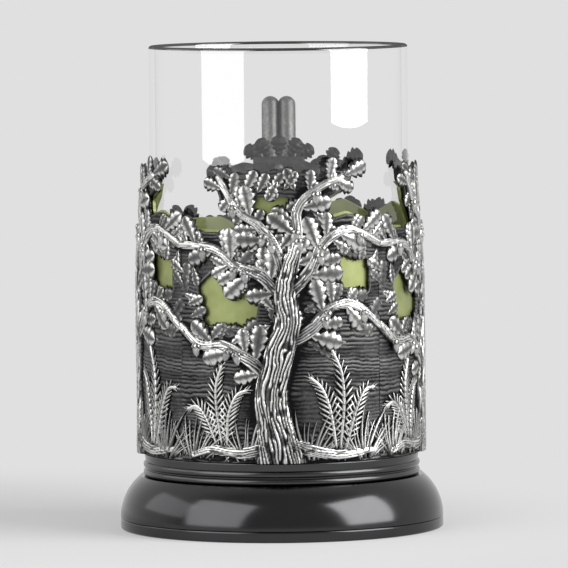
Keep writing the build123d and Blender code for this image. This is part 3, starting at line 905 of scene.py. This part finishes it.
def pierced_sheet(has_tree):
    """A fine grid over a panel: its places, moved to the cut edges there, how far they are inside the
    metal and which cells are metal."""
    columns = int(round(2 * PANEL_HALF_MM / SHEET_STEP_MM)) + 1
    rows = int(round(PANEL_HEIGHT_MM / SHEET_STEP_MM)) + 1
    across = np.linspace(-PANEL_HALF_MM, PANEL_HALF_MM, columns)
    x, z = np.meshgrid(across, np.linspace(PANEL_BOTTOM_MM, PANEL_TOP_MM, rows))
    depth = metal_depth(x, z, has_tree)
    kept = depth[:-1, :-1] + depth[:-1, 1:] + depth[1:, 1:] + depth[1:, :-1] > 0
    around = np.pad(kept, 1, mode="edge")
    corners = np.stack([around[:-1, :-1], around[:-1, 1:], around[1:, :-1], around[1:, 1:]])
    on_edge = corners.any(axis=0) & ~corners.all(axis=0)
    slope_z, slope_x = np.gradient(depth, SHEET_STEP_MM)
    steepness = np.maximum(slope_x ** 2 + slope_z ** 2, LEAST_SLOPE ** 2)
    shift = np.where(on_edge, depth / steepness, 0.0)
    shift = np.clip(shift, -SHEET_STEP_MM, SHEET_STEP_MM)
    z = np.clip(z - shift * slope_z, PANEL_BOTTOM_MM, PANEL_TOP_MM)
    x = x - shift * slope_x
    x[:, 0] = across[0]
    x[:, -1] = across[-1]
    return x, z, np.where(on_edge, 0.0, depth), kept


def triangle_edges(triangle):
    """Its three edges, in its own direction."""
    first, second, third = triangle
    return (first, second), (second, third), (third, first)


def metal_side(triangles, rim):
    """Triangles on the metal's side of the rim, whose edges have the metal on their left."""
    owner = {}
    for number, triangle in enumerate(triangles):
        owner.update((edge, number) for edge in triangle_edges(triangle))
    walls = set(rim) | {(end, start) for start, end in rim}
    waiting = [owner[edge] for edge in rim if edge in owner]
    found = set(waiting)
    while waiting:
        for start, end in triangle_edges(triangles[waiting.pop()]):
            number = owner.get((end, start))
            if (start, end) not in walls and number is not None and number not in found:
                found.add(number)
                waiting.append(number)
    return [triangles[number] for number in sorted(found)]


def shell_from_sheet(x, z, depth, height, kept):
    """Points and faces of a closed plate: the worked front, its edges and a plain back."""
    count = x.size
    index = np.arange(count).reshape(x.shape)
    quads = np.stack([index[:-1, :-1], index[:-1, 1:], index[1:, 1:], index[1:, :-1]], axis=-1)[kept]
    starts = quads.ravel()
    ends = np.roll(quads, -1, axis=1).ravel()
    rim = ~np.isin(starts * count + ends, ends * count + starts)
    rim_starts = starts[rim]
    rim_ends = ends[rim]
    rim_points = np.unique(rim_starts)
    flat_x = x.ravel()
    flat_z = z.ravel()

    half_stride = BACK_STRIDE // 2
    inner = index[half_stride::BACK_STRIDE, half_stride::BACK_STRIDE].ravel()
    inner = inner[depth.ravel()[inner] > BACK_INSET_MM]
    sources = np.concatenate([rim_points, inner])
    order_of = {point: order for order, point in enumerate(rim_points)}
    rim_edges = [(order_of[start], order_of[end]) for start, end in zip(rim_starts, rim_ends)]
    places = [Vector((flat_x[point], flat_z[point])) for point in sources]
    _, _, triangles, origins, _, _ = delaunay_2d_cdt(places, rim_edges, [], 0, BACK_POINT_GAP_MM)
    triangles = [tuple(origins[corner][0] for corner in triangle) for triangle in triangles]

    faces = [tuple(quad) for quad in quads]
    faces += [(order_of[start] + count, order_of[end] + count, end, start)
              for start, end in zip(rim_starts, rim_ends)]
    faces += [tuple(count + corner for corner in reversed(triangle))
              for triangle in metal_side(triangles, rim_edges)]
    front = wrapped(flat_x, height.ravel(), flat_z, GROUND_RADIUS_MM)
    back = wrapped(flat_x[sources], np.zeros(len(sources)), flat_z[sources], GROUND_INSIDE_MM)
    return np.vstack([front, back]), faces


def relief_plate(has_tree):
    """Points, faces and polish of a panel's plate, at the front."""
    x, z, depth, kept = pierced_sheet(has_tree)
    height = relief_height(x, z, depth, has_tree)
    points, faces = shell_from_sheet(x, z, depth, height, kept)
    over_near = height - blurred(height, NEAR_CELLS)
    over_wide = height - blurred(height, WIDE_CELLS)
    polish = np.clip(PLATE_POLISH + NEAR_POLISH * over_near + WIDE_POLISH * over_wide, 0, 1)
    back = np.full(len(points) - polish.size, BACK_POLISH)
    return points, faces, np.concatenate([polish.ravel(), back])


def turned_points(points, name):
    """Points of a panel at its place round the holder. The rear panel is mirrored."""
    placed = np.array(points)
    if name == "rear":
        placed[:, 0] = -placed[:, 0]
    turn = PANEL_NAMES.index(name) * 2 * math.pi / PANEL_COUNT
    cosine = math.cos(turn)
    sine = math.sin(turn)
    spin = np.array([[cosine, -sine, 0], [sine, cosine, 0], [0, 0, 1]])
    return placed @ spin.T


def packed_object(name, points, faces, polish, mirrored):
    """A silver object of only the points that its faces use."""
    faces = [tuple(reversed(face)) for face in faces] if mirrored else faces
    used = np.unique(np.concatenate([np.asarray(face) for face in faces]))
    place_of = np.full(len(points), -1)
    place_of[used] = np.arange(len(used))
    faces = [[int(place_of[corner]) for corner in face] for face in faces]
    mesh = polished_mesh(name, points[used].tolist(), faces, polish[used])
    mesh.materials.append(RELIEF_SILVER)
    return link_object(name, mesh)


# Leaves, ferns, acorns and grass, set on the relief by Geometry Nodes


def template(name, points, faces, polish):
    """A small model that is set many times, with its polish attribute."""
    mesh = polished_mesh(name, points, faces, polish)
    turn_outwards(mesh)
    return link_object(name, mesh)


def ribbed_blade(name, shares, sides, place):
    """A closed leaf-like shell: rows of points across it, with a flat back between its two edges.
    place(share, side) gives a point and its polish, for a share along it and a side from -1 to 1."""
    made = [place(share, side) for share in shares for side in sides]
    width = len(sides)
    faces = [list(range(width - 1, -1, -1)), list(range(len(made) - width, len(made)))]
    for low in range(0, len(made) - width, width):
        high = low + width
        faces += [[low + step, low + step + 1, high + step + 1, high + step] for step in range(width - 1)]
        faces.append([low + width - 1, low, high, high + width - 1])
    return template(name, [point for point, _ in made], faces, [shine for _, shine in made])


def oak_leaf():
    """A leaf with blunt lobes that grows along +Z from the origin and faces -Y."""
    widths = {0.0: 0.05, 0.10: 0.07, 0.17: 0.34, 0.26: 0.52, 0.32: 0.38, 0.39: 0.64, 0.48: 0.85, 0.54: 0.62,
              0.61: 0.88, 0.70: 1.0, 0.76: 0.70, 0.83: 0.82, 0.91: 0.66, 0.97: 0.36, 1.0: 0.05}
    notches = (0.32, 0.54, 0.76)
    notch_share = 0.72
    sweep = 0.07
    thin_end = 0.3
    # Rise in millimetres and polish of the vein, the flanks and the edges
    parts = {0.0: (0.70, 0.34), 0.5: (0.80, 0.80), 1.0: (-0.12, 0.15)}

    def place(share, side):
        half = LEAF_WIDTH_MM / 2 * widths[share]
        forward = share + sweep * abs(side) * (1 - share)
        fade = min(1.0, thin_end + 4 * share, thin_end + 5 * (1 - share))
        rise, shine = parts[abs(side)]
        if abs(side) == 0.5 and share in notches:
            rise *= notch_share
            shine *= notch_share
        return (side * half, -rise * fade, forward * LEAF_LENGTH_MM), shine

    return ribbed_blade("oak_leaf_model", list(widths), [-1.0, -0.5, 0.0, 0.5, 1.0], place)


def slim_blade(name, half, rise, bend, length, rib_polish, edge_polish):
    """A slim blade with a raised rib that grows along +Z and faces -Y. half(share) and rise(share)
    give its half width and the height of its rib, and bend is how far its tip leans over."""

    def place(share, side):
        lift = rise(share) if side == 0 else 0.0
        shine = rib_polish if side == 0 else edge_polish
        return (side * half(share) + bend * share ** 2, -lift, share * length), shine

    return ribbed_blade(name, [0.0, 0.2, 0.4, 0.6, 0.8, 1.0], [-1.0, 0.0, 1.0], place)


def fern_leaflet():
    """A straight leaflet, widest in the middle."""

    def half(share):
        return LEAFLET_HALF_MM * math.sin(math.pi * (0.10 + 0.87 * share)) ** 0.7

    def rise(share):
        return LEAFLET_RISE_MM * (1 - 0.4 * share)

    return slim_blade("fern_leaflet_model", half, rise, bend=0.0, length=LEAFLET_LENGTH_MM,
                      rib_polish=0.70, edge_polish=0.10)


def grass_blade():
    """A bent blade that tapers to its tip."""

    def half(share):
        return BLADE_HALF_MM * (1 - share) ** 0.8 + BLADE_TIP_MM

    def rise(share):
        return BLADE_RISE_MM * (1 - 0.5 * share)

    return slim_blade("grass_blade_model", half, rise, bend=BLADE_BEND_MM, length=BLADE_LENGTH_MM,
                      rib_polish=0.68, edge_polish=0.12)


def acorn():
    """An acorn that hangs along +Z from the origin and faces -Y: a knobbed cup and a smooth nut."""
    sides = 14
    flatness = 0.8
    knob_rise = 0.07
    knob_rings = (2, 3)
    cup_rings = 5
    pole_polish = 0.5
    cup_polish = (0.32, 0.82)
    nut_polish = 0.62
    profile = [(0.0, 0.0), (0.7, 0.1), (1.30, 0.5), (1.55, 1.1), (1.50, 1.5), (1.22, 1.55), (1.26, 2.2),
               (1.16, 3.0), (0.86, 3.75), (0.40, 4.2), (0.18, 4.45), (0.0, ACORN_LENGTH_MM)]
    points = []
    polish = []
    rings = []
    for order, (radius, height) in enumerate(profile):
        start = len(points)
        if radius == 0:
            points.append((0.0, 0.0, height))
            polish.append(pole_polish)
            rings.append([start] * sides)
            continue
        for step in range(sides):
            turn = 2 * math.pi * (step + 0.5 * (order % 2)) / sides
            out = radius * (1 + knob_rise) if order in knob_rings and step % 2 else radius
            points.append((out * math.sin(turn), -flatness * out * math.cos(turn), height))
            polish.append(cup_polish[step % 2] if order < cup_rings else nut_polish)
        rings.append([start + step for step in range(sides)])
    return template("acorn_model", points, ring_faces(rings), polish)


def named_attribute(tree, name, content):
    """The value of an attribute of the points."""
    node = add(tree, "GeometryNodeInputNamedAttribute", {"data_type": content}, {"Name": name})
    return node.outputs["Attribute"]


def spray_tree():
    """Sets a model at each point of a flat sheet, in millimetres, and wraps the result round the holder."""
    tree, source, sink = group_tree("wrapped_sprays", "GeometryNodeTree",
                                    {"Geometry": "Geometry", "Model": "Object", "Wrap Radius": "Float",
                                     "Unit": "Float", "Finish": "Material"},
                                    {"Geometry": "Geometry"})
    model = add(tree, "GeometryNodeObjectInfo", None,
                {"Object": source.outputs["Model"], "As Instance": True})
    turn = add(tree, "FunctionNodeEulerToRotation", None,
               {"Euler": named_attribute(tree, "facing", "FLOAT_VECTOR")})
    placed = add(tree, "GeometryNodeInstanceOnPoints", None, {
        "Points": source.outputs["Geometry"],
        "Instance": model.outputs["Geometry"],
        "Rotation": turn.outputs["Rotation"],
        "Scale": named_attribute(tree, "size", "FLOAT_VECTOR"),
    })
    real = add(tree, "GeometryNodeRealizeInstances", None, {"Geometry": placed.outputs["Instances"]})
    flat = split(tree, add(tree, "GeometryNodeInputPosition").outputs[0])
    radius = source.outputs["Wrap Radius"]
    angle = math_node(tree, "DIVIDE", flat.outputs["X"], radius)
    out = math_node(tree, "SUBTRACT", radius, flat.outputs["Y"])
    inwards = math_node(tree, "MULTIPLY", out, -1.0)
    bent = add(tree, "ShaderNodeCombineXYZ", None, {
        "X": math_node(tree, "MULTIPLY", out, math_node(tree, "SINE", angle)),
        "Y": math_node(tree, "MULTIPLY", inwards, math_node(tree, "COSINE", angle)),
        "Z": flat.outputs["Z"],
    })
    scaled = add(tree, "ShaderNodeVectorMath", {"operation": "SCALE"},
                 {0: bent.outputs[0], "Scale": source.outputs["Unit"]})
    moved = add(tree, "GeometryNodeSetPosition", None,
                {"Geometry": real.outputs["Geometry"], "Position": scaled.outputs[0]})
    shares = [named_attribute(tree, name, "FLOAT") for name in ("polish", "rubbed")]
    rubbed = add(tree, "GeometryNodeStoreNamedAttribute", None, {
        "Geometry": moved.outputs["Geometry"],
        "Name": "polish",
        "Value": math_node(tree, "MULTIPLY", *shares),
    })
    done = add(tree, "GeometryNodeSetMaterial", None,
               {"Geometry": rubbed.outputs["Geometry"], "Material": source.outputs["Finish"]})
    feed(tree, sink, {"Geometry": done.outputs["Geometry"]})
    return tree


def spray_mesh(tree, model, sets):
    """Plain mesh of one model at many places. Each set is (x, lift, z, turn, scale, rubbed): its flat
    place and lift, its turn from upright in degrees, its size and how rubbed it is."""
    mesh = bpy.data.meshes.new("spray_points")
    mesh.from_pydata([(x, -lift, z) for x, lift, z, *_ in sets], [], [])
    facing = mesh.attributes.new("facing", "FLOAT_VECTOR", "POINT")
    facing.data.foreach_set("vector", np.ravel([(0.0, math.radians(turn), 0.0) for *_, turn, _, _ in sets]))
    size = mesh.attributes.new("size", "FLOAT_VECTOR", "POINT")
    size.data.foreach_set("vector", np.ravel([(scale, scale, scale) for *_, scale, _ in sets]))
    rubbed = mesh.attributes.new("rubbed", "FLOAT", "POINT")
    rubbed.data.foreach_set("value", [given for *_, given in sets])
    holder = link_object("spray_points", mesh)
    modifier = holder.modifiers.new("sprays", "NODES")
    modifier.node_group = tree
    values = {"Model": model, "Wrap Radius": GROUND_RADIUS_MM, "Unit": MM, "Finish": RELIEF_SILVER}
    for item in tree.interface.items_tree:
        if item.in_out == "INPUT" and item.name in values:
            modifier[item.identifier] = values[item.name]
    bpy.context.view_layer.update()
    ready = holder.evaluated_get(bpy.context.evaluated_depsgraph_get())
    made = bpy.data.meshes.new_from_object(ready)
    bpy.data.objects.remove(holder)
    return made


def along_route(route, share):
    """Flat place and heading in degrees at a share of the way along a branch."""
    points = smooth_route(route)
    steps = np.diff(points[:, :2], axis=0)
    lengths = np.hypot(steps[:, 0], steps[:, 1])
    reached = np.concatenate([[0.0], np.cumsum(lengths)])
    target = share * reached[-1]
    part = min(int(np.searchsorted(reached, target, side="right")) - 1, len(lengths) - 1)
    place = points[part] + (points[part + 1] - points[part]) * (target - reached[part]) / lengths[part]
    return place[0], place[1], math.degrees(math.atan2(steps[part][1], steps[part][0]))


def on_sheet(x, heading, length, has_tree):
    """Whether a model of some length keeps near its panel, and off the rear panel's plain strip."""
    tip = x + length * math.cos(math.radians(heading))
    near_panel = max(abs(x), abs(tip)) < PANEL_HALF_MM + LEAF_OVERLAP_MM
    off_strip = min(x * np.sign(x), tip * np.sign(x)) > STRIP_HALF_MM + LEAF_STRIP_GAP_MM
    return near_panel and (has_tree or off_strip)


# A leaf is (x, lift, z, heading, scale, rubbed, overhang): its flat place and its lift over the ground
# in millimetres, its heading in degrees, its size, how rubbed it is and how far its tip may hang over
# the open.


def bough_leaves(random):
    """Leaves alternate along each bough, with smaller ones between them and one at the tip."""
    overhang = 3.6
    for route, count in BOUGHS:
        total = 2 * count
        for number in range(total):
            share = (number + 1) / total
            main = number % 2 == 1
            side = 1 if (number // 2) % 2 == main else -1
            x, z, heading = along_route(route, share)
            at_tip = number == total - 1
            splay = 0.0 if at_tip else side * (LEAF_SPLAY + random.uniform(-10, 10))
            scale = (1.0 - LEAF_SHRINK * share) * (1.0 if main else SMALL_LEAF)
            lift = 0.30 if main else 0.15
            rubbed = random.uniform(0.85, 1.1)
            yield x, lift, z, heading + splay, scale, rubbed, overhang


def window_leaves(random):
    """Leaves that reach over the edges of the windows."""
    overhang = 1.4
    for corners in WINDOWS:
        outline = rounded_outline(corners)
        steps = np.roll(outline, -1, axis=0) - outline
        reached = np.concatenate([[0.0], np.cumsum(np.hypot(steps[:, 0], steps[:, 1]))])
        turning = np.sign(np.sum(steps[:, 0] * (outline[:, 1] + 0.5 * steps[:, 1])))
        for distance in np.arange(0, reached[-1], FRINGE_STEP_MM):
            part = int(np.searchsorted(reached, distance, side="right")) - 1
            walked = distance - reached[part]
            place = outline[part] + steps[part] * walked / (reached[part + 1] - reached[part])
            inwards = math.degrees(math.atan2(steps[part][1], steps[part][0])) - 90 * turning
            back = random.uniform(4.2, 5.2)
            x = place[0] - back * math.cos(math.radians(inwards))
            z = place[1] - back * math.sin(math.radians(inwards))
            heading = inwards + random.uniform(-50, 50)
            lift = random.uniform(-0.1, 0.15)
            scale = random.uniform(0.50, 0.62)
            rubbed = random.uniform(0.75, 1.05)
            yield x, lift, z, heading, scale, rubbed, overhang


def skyline_leaves(random):
    """Leaves along the upper edge."""
    overhang = 2.2
    rubbed = 0.9
    for x in np.arange(-PANEL_HALF_MM + 2, PANEL_HALF_MM - 2, FRINGE_STEP_MM):
        z = float(top_edge(x)) - random.uniform(4.6, 5.6)
        heading = 90 + random.uniform(-38, 38)
        lift = random.uniform(-0.1, 0.15)
        scale = random.uniform(0.55, 0.7)
        yield x, lift, z, heading, scale, rubbed, overhang


def canopy_leaves(random):
    """Lower and darker leaves that fill the ground between the boughs."""
    overhang = 0.0
    rubbed = 0.7
    for z in np.arange(sheet_place(0, CANOPY_LOW)[1], PANEL_TOP_MM - 3, CANOPY_STEP_MM):
        for x in np.arange(-PANEL_HALF_MM + 2, PANEL_HALF_MM - 1, CANOPY_STEP_MM):
            shift = random.uniform(-1.6, 1.6, 2)
            heading = random.uniform(-25, 205)
            lift = random.uniform(-0.4, -0.15)
            scale = random.uniform(0.6, 0.8)
            yield x + shift[0], lift, z + shift[1], heading, scale, rubbed, overhang


def crest_leaves():
    """Sets of a fan of leaves over the rear panel's plain strip."""
    lift = -0.5
    z = PANEL_TOP_MM - 1.0
    scale = 0.62
    rubbed = 1.0
    return [(CREST_REACH_MM * math.sin(math.radians(tilt)), lift, z, tilt, scale, rubbed)
            for tilt in CREST_TILTS]


def leaf_sets(has_tree):
    """Every leaf that grows from a panel's metal and doesn't hang too far over the open."""
    random = np.random.default_rng(LEAF_SEED if has_tree else REAR_LEAF_SEED)
    growths = (bough_leaves, window_leaves, skyline_leaves, canopy_leaves)
    leaves = [leaf for growth in growths for leaf in growth(random)]
    x, _, z, heading, scale, _, overhang = np.array(leaves).T
    tip_x = x + LEAF_TIP_SHARE * scale * LEAF_LENGTH_MM * np.cos(np.radians(heading))
    tip_z = z + LEAF_TIP_SHARE * scale * LEAF_LENGTH_MM * np.sin(np.radians(heading))
    rooted = metal_depth(x, z, has_tree) > LEAF_ROOT_DEPTH_MM
    kept = rooted & (metal_depth(tip_x, tip_z, has_tree) > -overhang)
    sets = []
    for (x, lift, z, heading, scale, rubbed, _), found in zip(leaves, kept):
        if found and on_sheet(x, heading, LEAF_LENGTH_MM * scale, has_tree):
            sets.append((x, lift, z, 90 - heading, scale, rubbed))
    return sets if has_tree else sets + crest_leaves()


def leaflet_sets(has_tree):
    """Leaflets in pairs along each fern frond, as long as the frond is wide there."""
    bare_stem = 0.14
    lift = 0.2
    rubbed = 1.0
    sets = []
    for route in FERNS:
        widths = smooth_route(route)[:, 2]
        for number in range(LEAFLET_PAIRS):
            share = bare_stem + (1 - bare_stem) * number / (LEAFLET_PAIRS - 1)
            x, z, heading = along_route(route, share)
            half = np.interp(share, np.linspace(0, 1, len(widths)), widths)
            splay = 60 - 35 * share
            scale = 0.35 + 0.42 * half
            for side in (1, -1):
                if has_tree or abs(x) > STRIP_HALF_MM + FERN_STRIP_GAP_MM:
                    sets.append((x, lift, z, 90 - heading - side * splay, scale, rubbed))
    return sets


def acorn_sets(has_tree):
    """Acorns that hang from each bough, two together and one by itself."""
    lift = 1.0
    rubbed = 1.0
    sets = []
    for route, _ in BOUGHS:
        for share, swing in ACORNS:
            x, z, _ = along_route(route, share)
            if on_sheet(x, 90 - swing, ACORN_LENGTH_MM, has_tree):
                sets.append((x, lift, z, swing, ACORN_SIZE, rubbed))
    return sets


def grass_sets(has_tree):
    """Short grass along the foot of the panel, and tall tufts between the ferns."""
    random = np.random.default_rng(GRASS_SEED)
    sets = []
    for x in np.arange(-PANEL_HALF_MM + 1.0, PANEL_HALF_MM - 0.5, BLADE_STEP_MM):
        for _ in range(BLADES_TOGETHER):
            z = PANEL_BOTTOM_MM + 0.3 + abs(random.normal(0, 2.4))
            tilt = random.uniform(-42, 42)
            scale = random.uniform(0.6, 1.1)
            sets.append((x, BLADE_LIFT_MM, z, tilt, scale, BLADE_RUBBED))
    for share in TUFTS:
        for tilt in np.linspace(-TUFT_TILT, TUFT_TILT, TUFT_BLADES):
            x = share * PANEL_HALF_MM + TUFT_SPREAD_MM * tilt
            z = PANEL_BOTTOM_MM + random.uniform(0.6, 3.0)
            scale = random.uniform(1.5, 2.5) * math.cos(math.radians(0.8 * tilt))
            sway = random.uniform(-5, 5)
            sets.append((x, TUFT_LIFT_MM, z, tilt + sway, scale, TUFT_RUBBED))
    return [blade for blade in sets if has_tree or abs(blade[0]) > STRIP_HALF_MM + GRASS_STRIP_GAP_MM]


def mesh_arrays(mesh):
    """Points, faces and polish of a mesh."""
    points = np.empty(3 * len(mesh.vertices))
    mesh.vertices.foreach_get("co", points)
    polish = np.empty(len(mesh.vertices))
    mesh.attributes["polish"].data.foreach_get("value", polish)
    return points.reshape(-1, 3), [tuple(polygon.vertices) for polygon in mesh.polygons], polish


def relief_panels():
    """Four panels round the holder, three with a tree and the rear one with the handle's strip."""
    tree = spray_tree()
    kinds = {"leaves": (oak_leaf(), leaf_sets), "ferns": (fern_leaflet(), leaflet_sets),
             "acorns": (acorn(), acorn_sets), "grass": (grass_blade(), grass_sets)}
    worked = {}
    for has_tree in (True, False):
        worked[has_tree] = {"plate": relief_plate(has_tree)}
        for kind, (model, places) in kinds.items():
            worked[has_tree][kind] = mesh_arrays(spray_mesh(tree, model, places(has_tree)))
    for model, _ in kinds.values():
        bpy.data.objects.remove(model)
    for name in PANEL_NAMES:
        rear = name == "rear"
        for kind, (points, faces, polish) in worked[not rear].items():
            piece = packed_object(f"oak_{kind}_{name}", turned_points(points, name), faces, polish, rear)
            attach(piece, "holder")
            if kind == "plate":
                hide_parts(f"relief_{name}")


# Pieces that keep their solid's shape


def smooth_copy(node, name, body, material):
    """A copy of a solid with its doubles merged, so that it shades smoothly."""
    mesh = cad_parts[node].data.copy()
    mesh.name = name
    mesh.materials.clear()
    mesh.materials.append(material)
    turn_outwards(mesh, merge=DOUBLES_GAP)
    finish_mesh(mesh)
    stands_for(link_object(name, mesh), node, body)


def plain_pieces():
    """The handle with its lugs and rivets, the liner, the floor plate and the screws."""
    for node in ("handle_bow", "thumb_rest"):
        smooth_copy(node, f"{node}_silver", "holder", HANDLE_SILVER)
    for node in ("upper_lug", "lower_lug", "handle_rivets"):
        smooth_copy(node, f"{node}_silver", "holder", LUG_SILVER)
    for node in ("gilded_liner", "floor_plate"):
        smooth_copy(node, f"{node}_gilt", "holder", GILDING)
    smooth_copy("foot_screws", "foot_screws_steel", "holder", SCREW_STEEL)


# Studio: grey levels that rays see, and the parts of a ray's heading over which they change

BACKDROP = 0.745
STUDIO_FRONT = 0.34
STUDIO_TOP = 0.02
AMBIENT = 0.32
FRONT_FADE = (-0.30, 0.20)
LEVEL_FADE = (0.15, 0.45)
AHEAD_FADE = (0.2, 0.6)

# Floor: its size, its glow and albedo near the object, and the distances over which it fades
FLOOR_RADIUS = 6.0
FLOOR_SEGMENTS = 96
FLOOR_FADE = (0.08, 0.20)
FLOOR_GLOW = 0.265
FLOOR_ALBEDO = 0.50
SHADOW_CENTRE = (-0.08, 0.0, 0.0)

# Lamps and camera
LAMP_DISTANCE = 0.95
LAMP_AIM = Vector((0, 0, 0.07))
CAMERA_PLACE = Vector((0.00105, -1.624, 0.1715))
CAMERA_TARGET = Vector((0.00105, 0.0, 0.0640))
CAMERA_LENS = 392.0
CAMERA_SENSOR = 36.0
CAMERA_ROLL = math.radians(-0.53)


def studio_world():
    """The camera sees an even pale backdrop. Mirrors see it too, with a darker studio in front of the
    object, and rays that glass bends see it only where they run level and away from the camera."""
    world = bpy.data.worlds.new("studio")
    bpy.context.scene.world = world
    world.use_nodes = True
    tree = world.node_tree
    heading = split(tree, add(tree, "ShaderNodeTexCoord").outputs["Generated"])
    mirrored = ramp(tree, heading.outputs["Y"], *FRONT_FADE, STUDIO_FRONT, BACKDROP)
    level_ray = ramp(tree, heading.outputs["Z"], *LEVEL_FADE, 1.0, 0.0)
    ahead = ramp(tree, heading.outputs["Y"], *AHEAD_FADE)
    bent = ramp(tree, math_node(tree, "MULTIPLY", level_ray, ahead), 0.0, 1.0, STUDIO_TOP, BACKDROP)
    path = add(tree, "ShaderNodeLightPath")
    level = AMBIENT
    for ray, seen in (("Glossy", mirrored), ("Transmission", bent), ("Camera", BACKDROP)):
        inputs = {0: path.outputs[f"Is {ray} Ray"], 2: level, 3: seen}
        level = add(tree, "ShaderNodeMix", {"data_type": "FLOAT"}, inputs).outputs[0]
    feed(tree, tree.nodes["Background"], {"Color": level})


def floor():
    """A pale floor that fades into the backdrop and keeps the shadow."""
    material, tree, shader = blank_material("pale_floor")
    tree.nodes.remove(shader)
    aside = add(tree, "ShaderNodeVectorMath", {"operation": "SUBTRACT"},
                {0: object_place(tree), 1: SHADOW_CENTRE})
    distance = add(tree, "ShaderNodeVectorMath", {"operation": "LENGTH"}, {0: aside.outputs[0]})
    far = ramp(tree, distance.outputs["Value"], *FLOOR_FADE)
    path = add(tree, "ShaderNodeLightPath")
    seen = math_node(tree, "ADD", path.outputs["Is Camera Ray"], path.outputs["Is Glossy Ray"])
    seen = math_node(tree, "ADD", seen, path.outputs["Is Transmission Ray"], clamp=True)
    glow = math_node(tree, "MULTIPLY", ramp(tree, far, 0.0, 1.0, FLOOR_GLOW, BACKDROP), seen)
    lit = add(tree, "ShaderNodeEmission", None, {"Color": grey(1.0), "Strength": glow})
    albedo = ramp(tree, far, 0.0, 1.0, FLOOR_ALBEDO, 0.0)
    matte = add(tree, "ShaderNodeBsdfDiffuse", None, {"Color": albedo})
    both = add(tree, "ShaderNodeAddShader", None, {0: lit.outputs[0], 1: matte.outputs[0]})
    feed(tree, tree.nodes["Material Output"], {"Surface": both.outputs[0]})
    turns = np.linspace(0, 2 * math.pi, FLOOR_SEGMENTS, endpoint=False)
    points = [(FLOOR_RADIUS * math.cos(turn), FLOOR_RADIUS * math.sin(turn), 0.0) for turn in turns]
    mesh_object("pale_floor", points, [range(len(points))], material)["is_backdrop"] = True


def softbox(name, azimuth, height, width, tall, radiance):
    """A soft lamp that faces the object. Azimuth is measured from the camera's side towards +X."""
    lamp = bpy.data.lights.new(name, "AREA")
    lamp.shape = "RECTANGLE"
    lamp.size = width
    lamp.size_y = tall
    lamp.energy = radiance * math.pi * width * tall
    made = link_object(name, lamp)
    turn = math.radians(azimuth)
    made.location = (LAMP_DISTANCE * math.sin(turn), -LAMP_DISTANCE * math.cos(turn), height)
    made.rotation_euler = (LAMP_AIM - made.location).to_track_quat("-Z", "Y").to_euler()
    made.visible_camera = False


def lamps():
    """A dim lamp and a card at the left, and a bright lamp at the right."""
    softbox("left_softbox", azimuth=-50.4, height=0.48, width=0.84, tall=0.95, radiance=2.5)
    softbox("right_softbox", azimuth=66.0, height=0.475, width=0.77, tall=0.90, radiance=5.8)
    softbox("left_card", azimuth=-97.0, height=0.46, width=0.80, tall=0.46, radiance=1.1)


def camera():
    """A long lens at the photograph's place, with its slight roll."""
    data = bpy.data.cameras.new("photo_camera")
    data.lens = CAMERA_LENS
    data.sensor_width = CAMERA_SENSOR
    made = link_object("photo_camera", data)
    aim = (CAMERA_TARGET - CAMERA_PLACE).to_track_quat("-Z", "Y").to_matrix()
    turn = aim @ Matrix.Rotation(CAMERA_ROLL, 3, "Z")
    made.matrix_world = Matrix.Translation(CAMERA_PLACE) @ turn.to_4x4()
    bpy.context.scene.camera = made


tea_glass()
flared_foot()
standing_ring()
neck_ring()
relief_panels()
plain_pieces()
studio_world()
floor()
lamps()
camera()
bpy.context.scene.view_settings.view_transform = "Standard"

boxes = {"cad": CAD_BOX, "visual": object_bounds()}
{name: [list(corner) for corner in box] for name, box in boxes.items()}
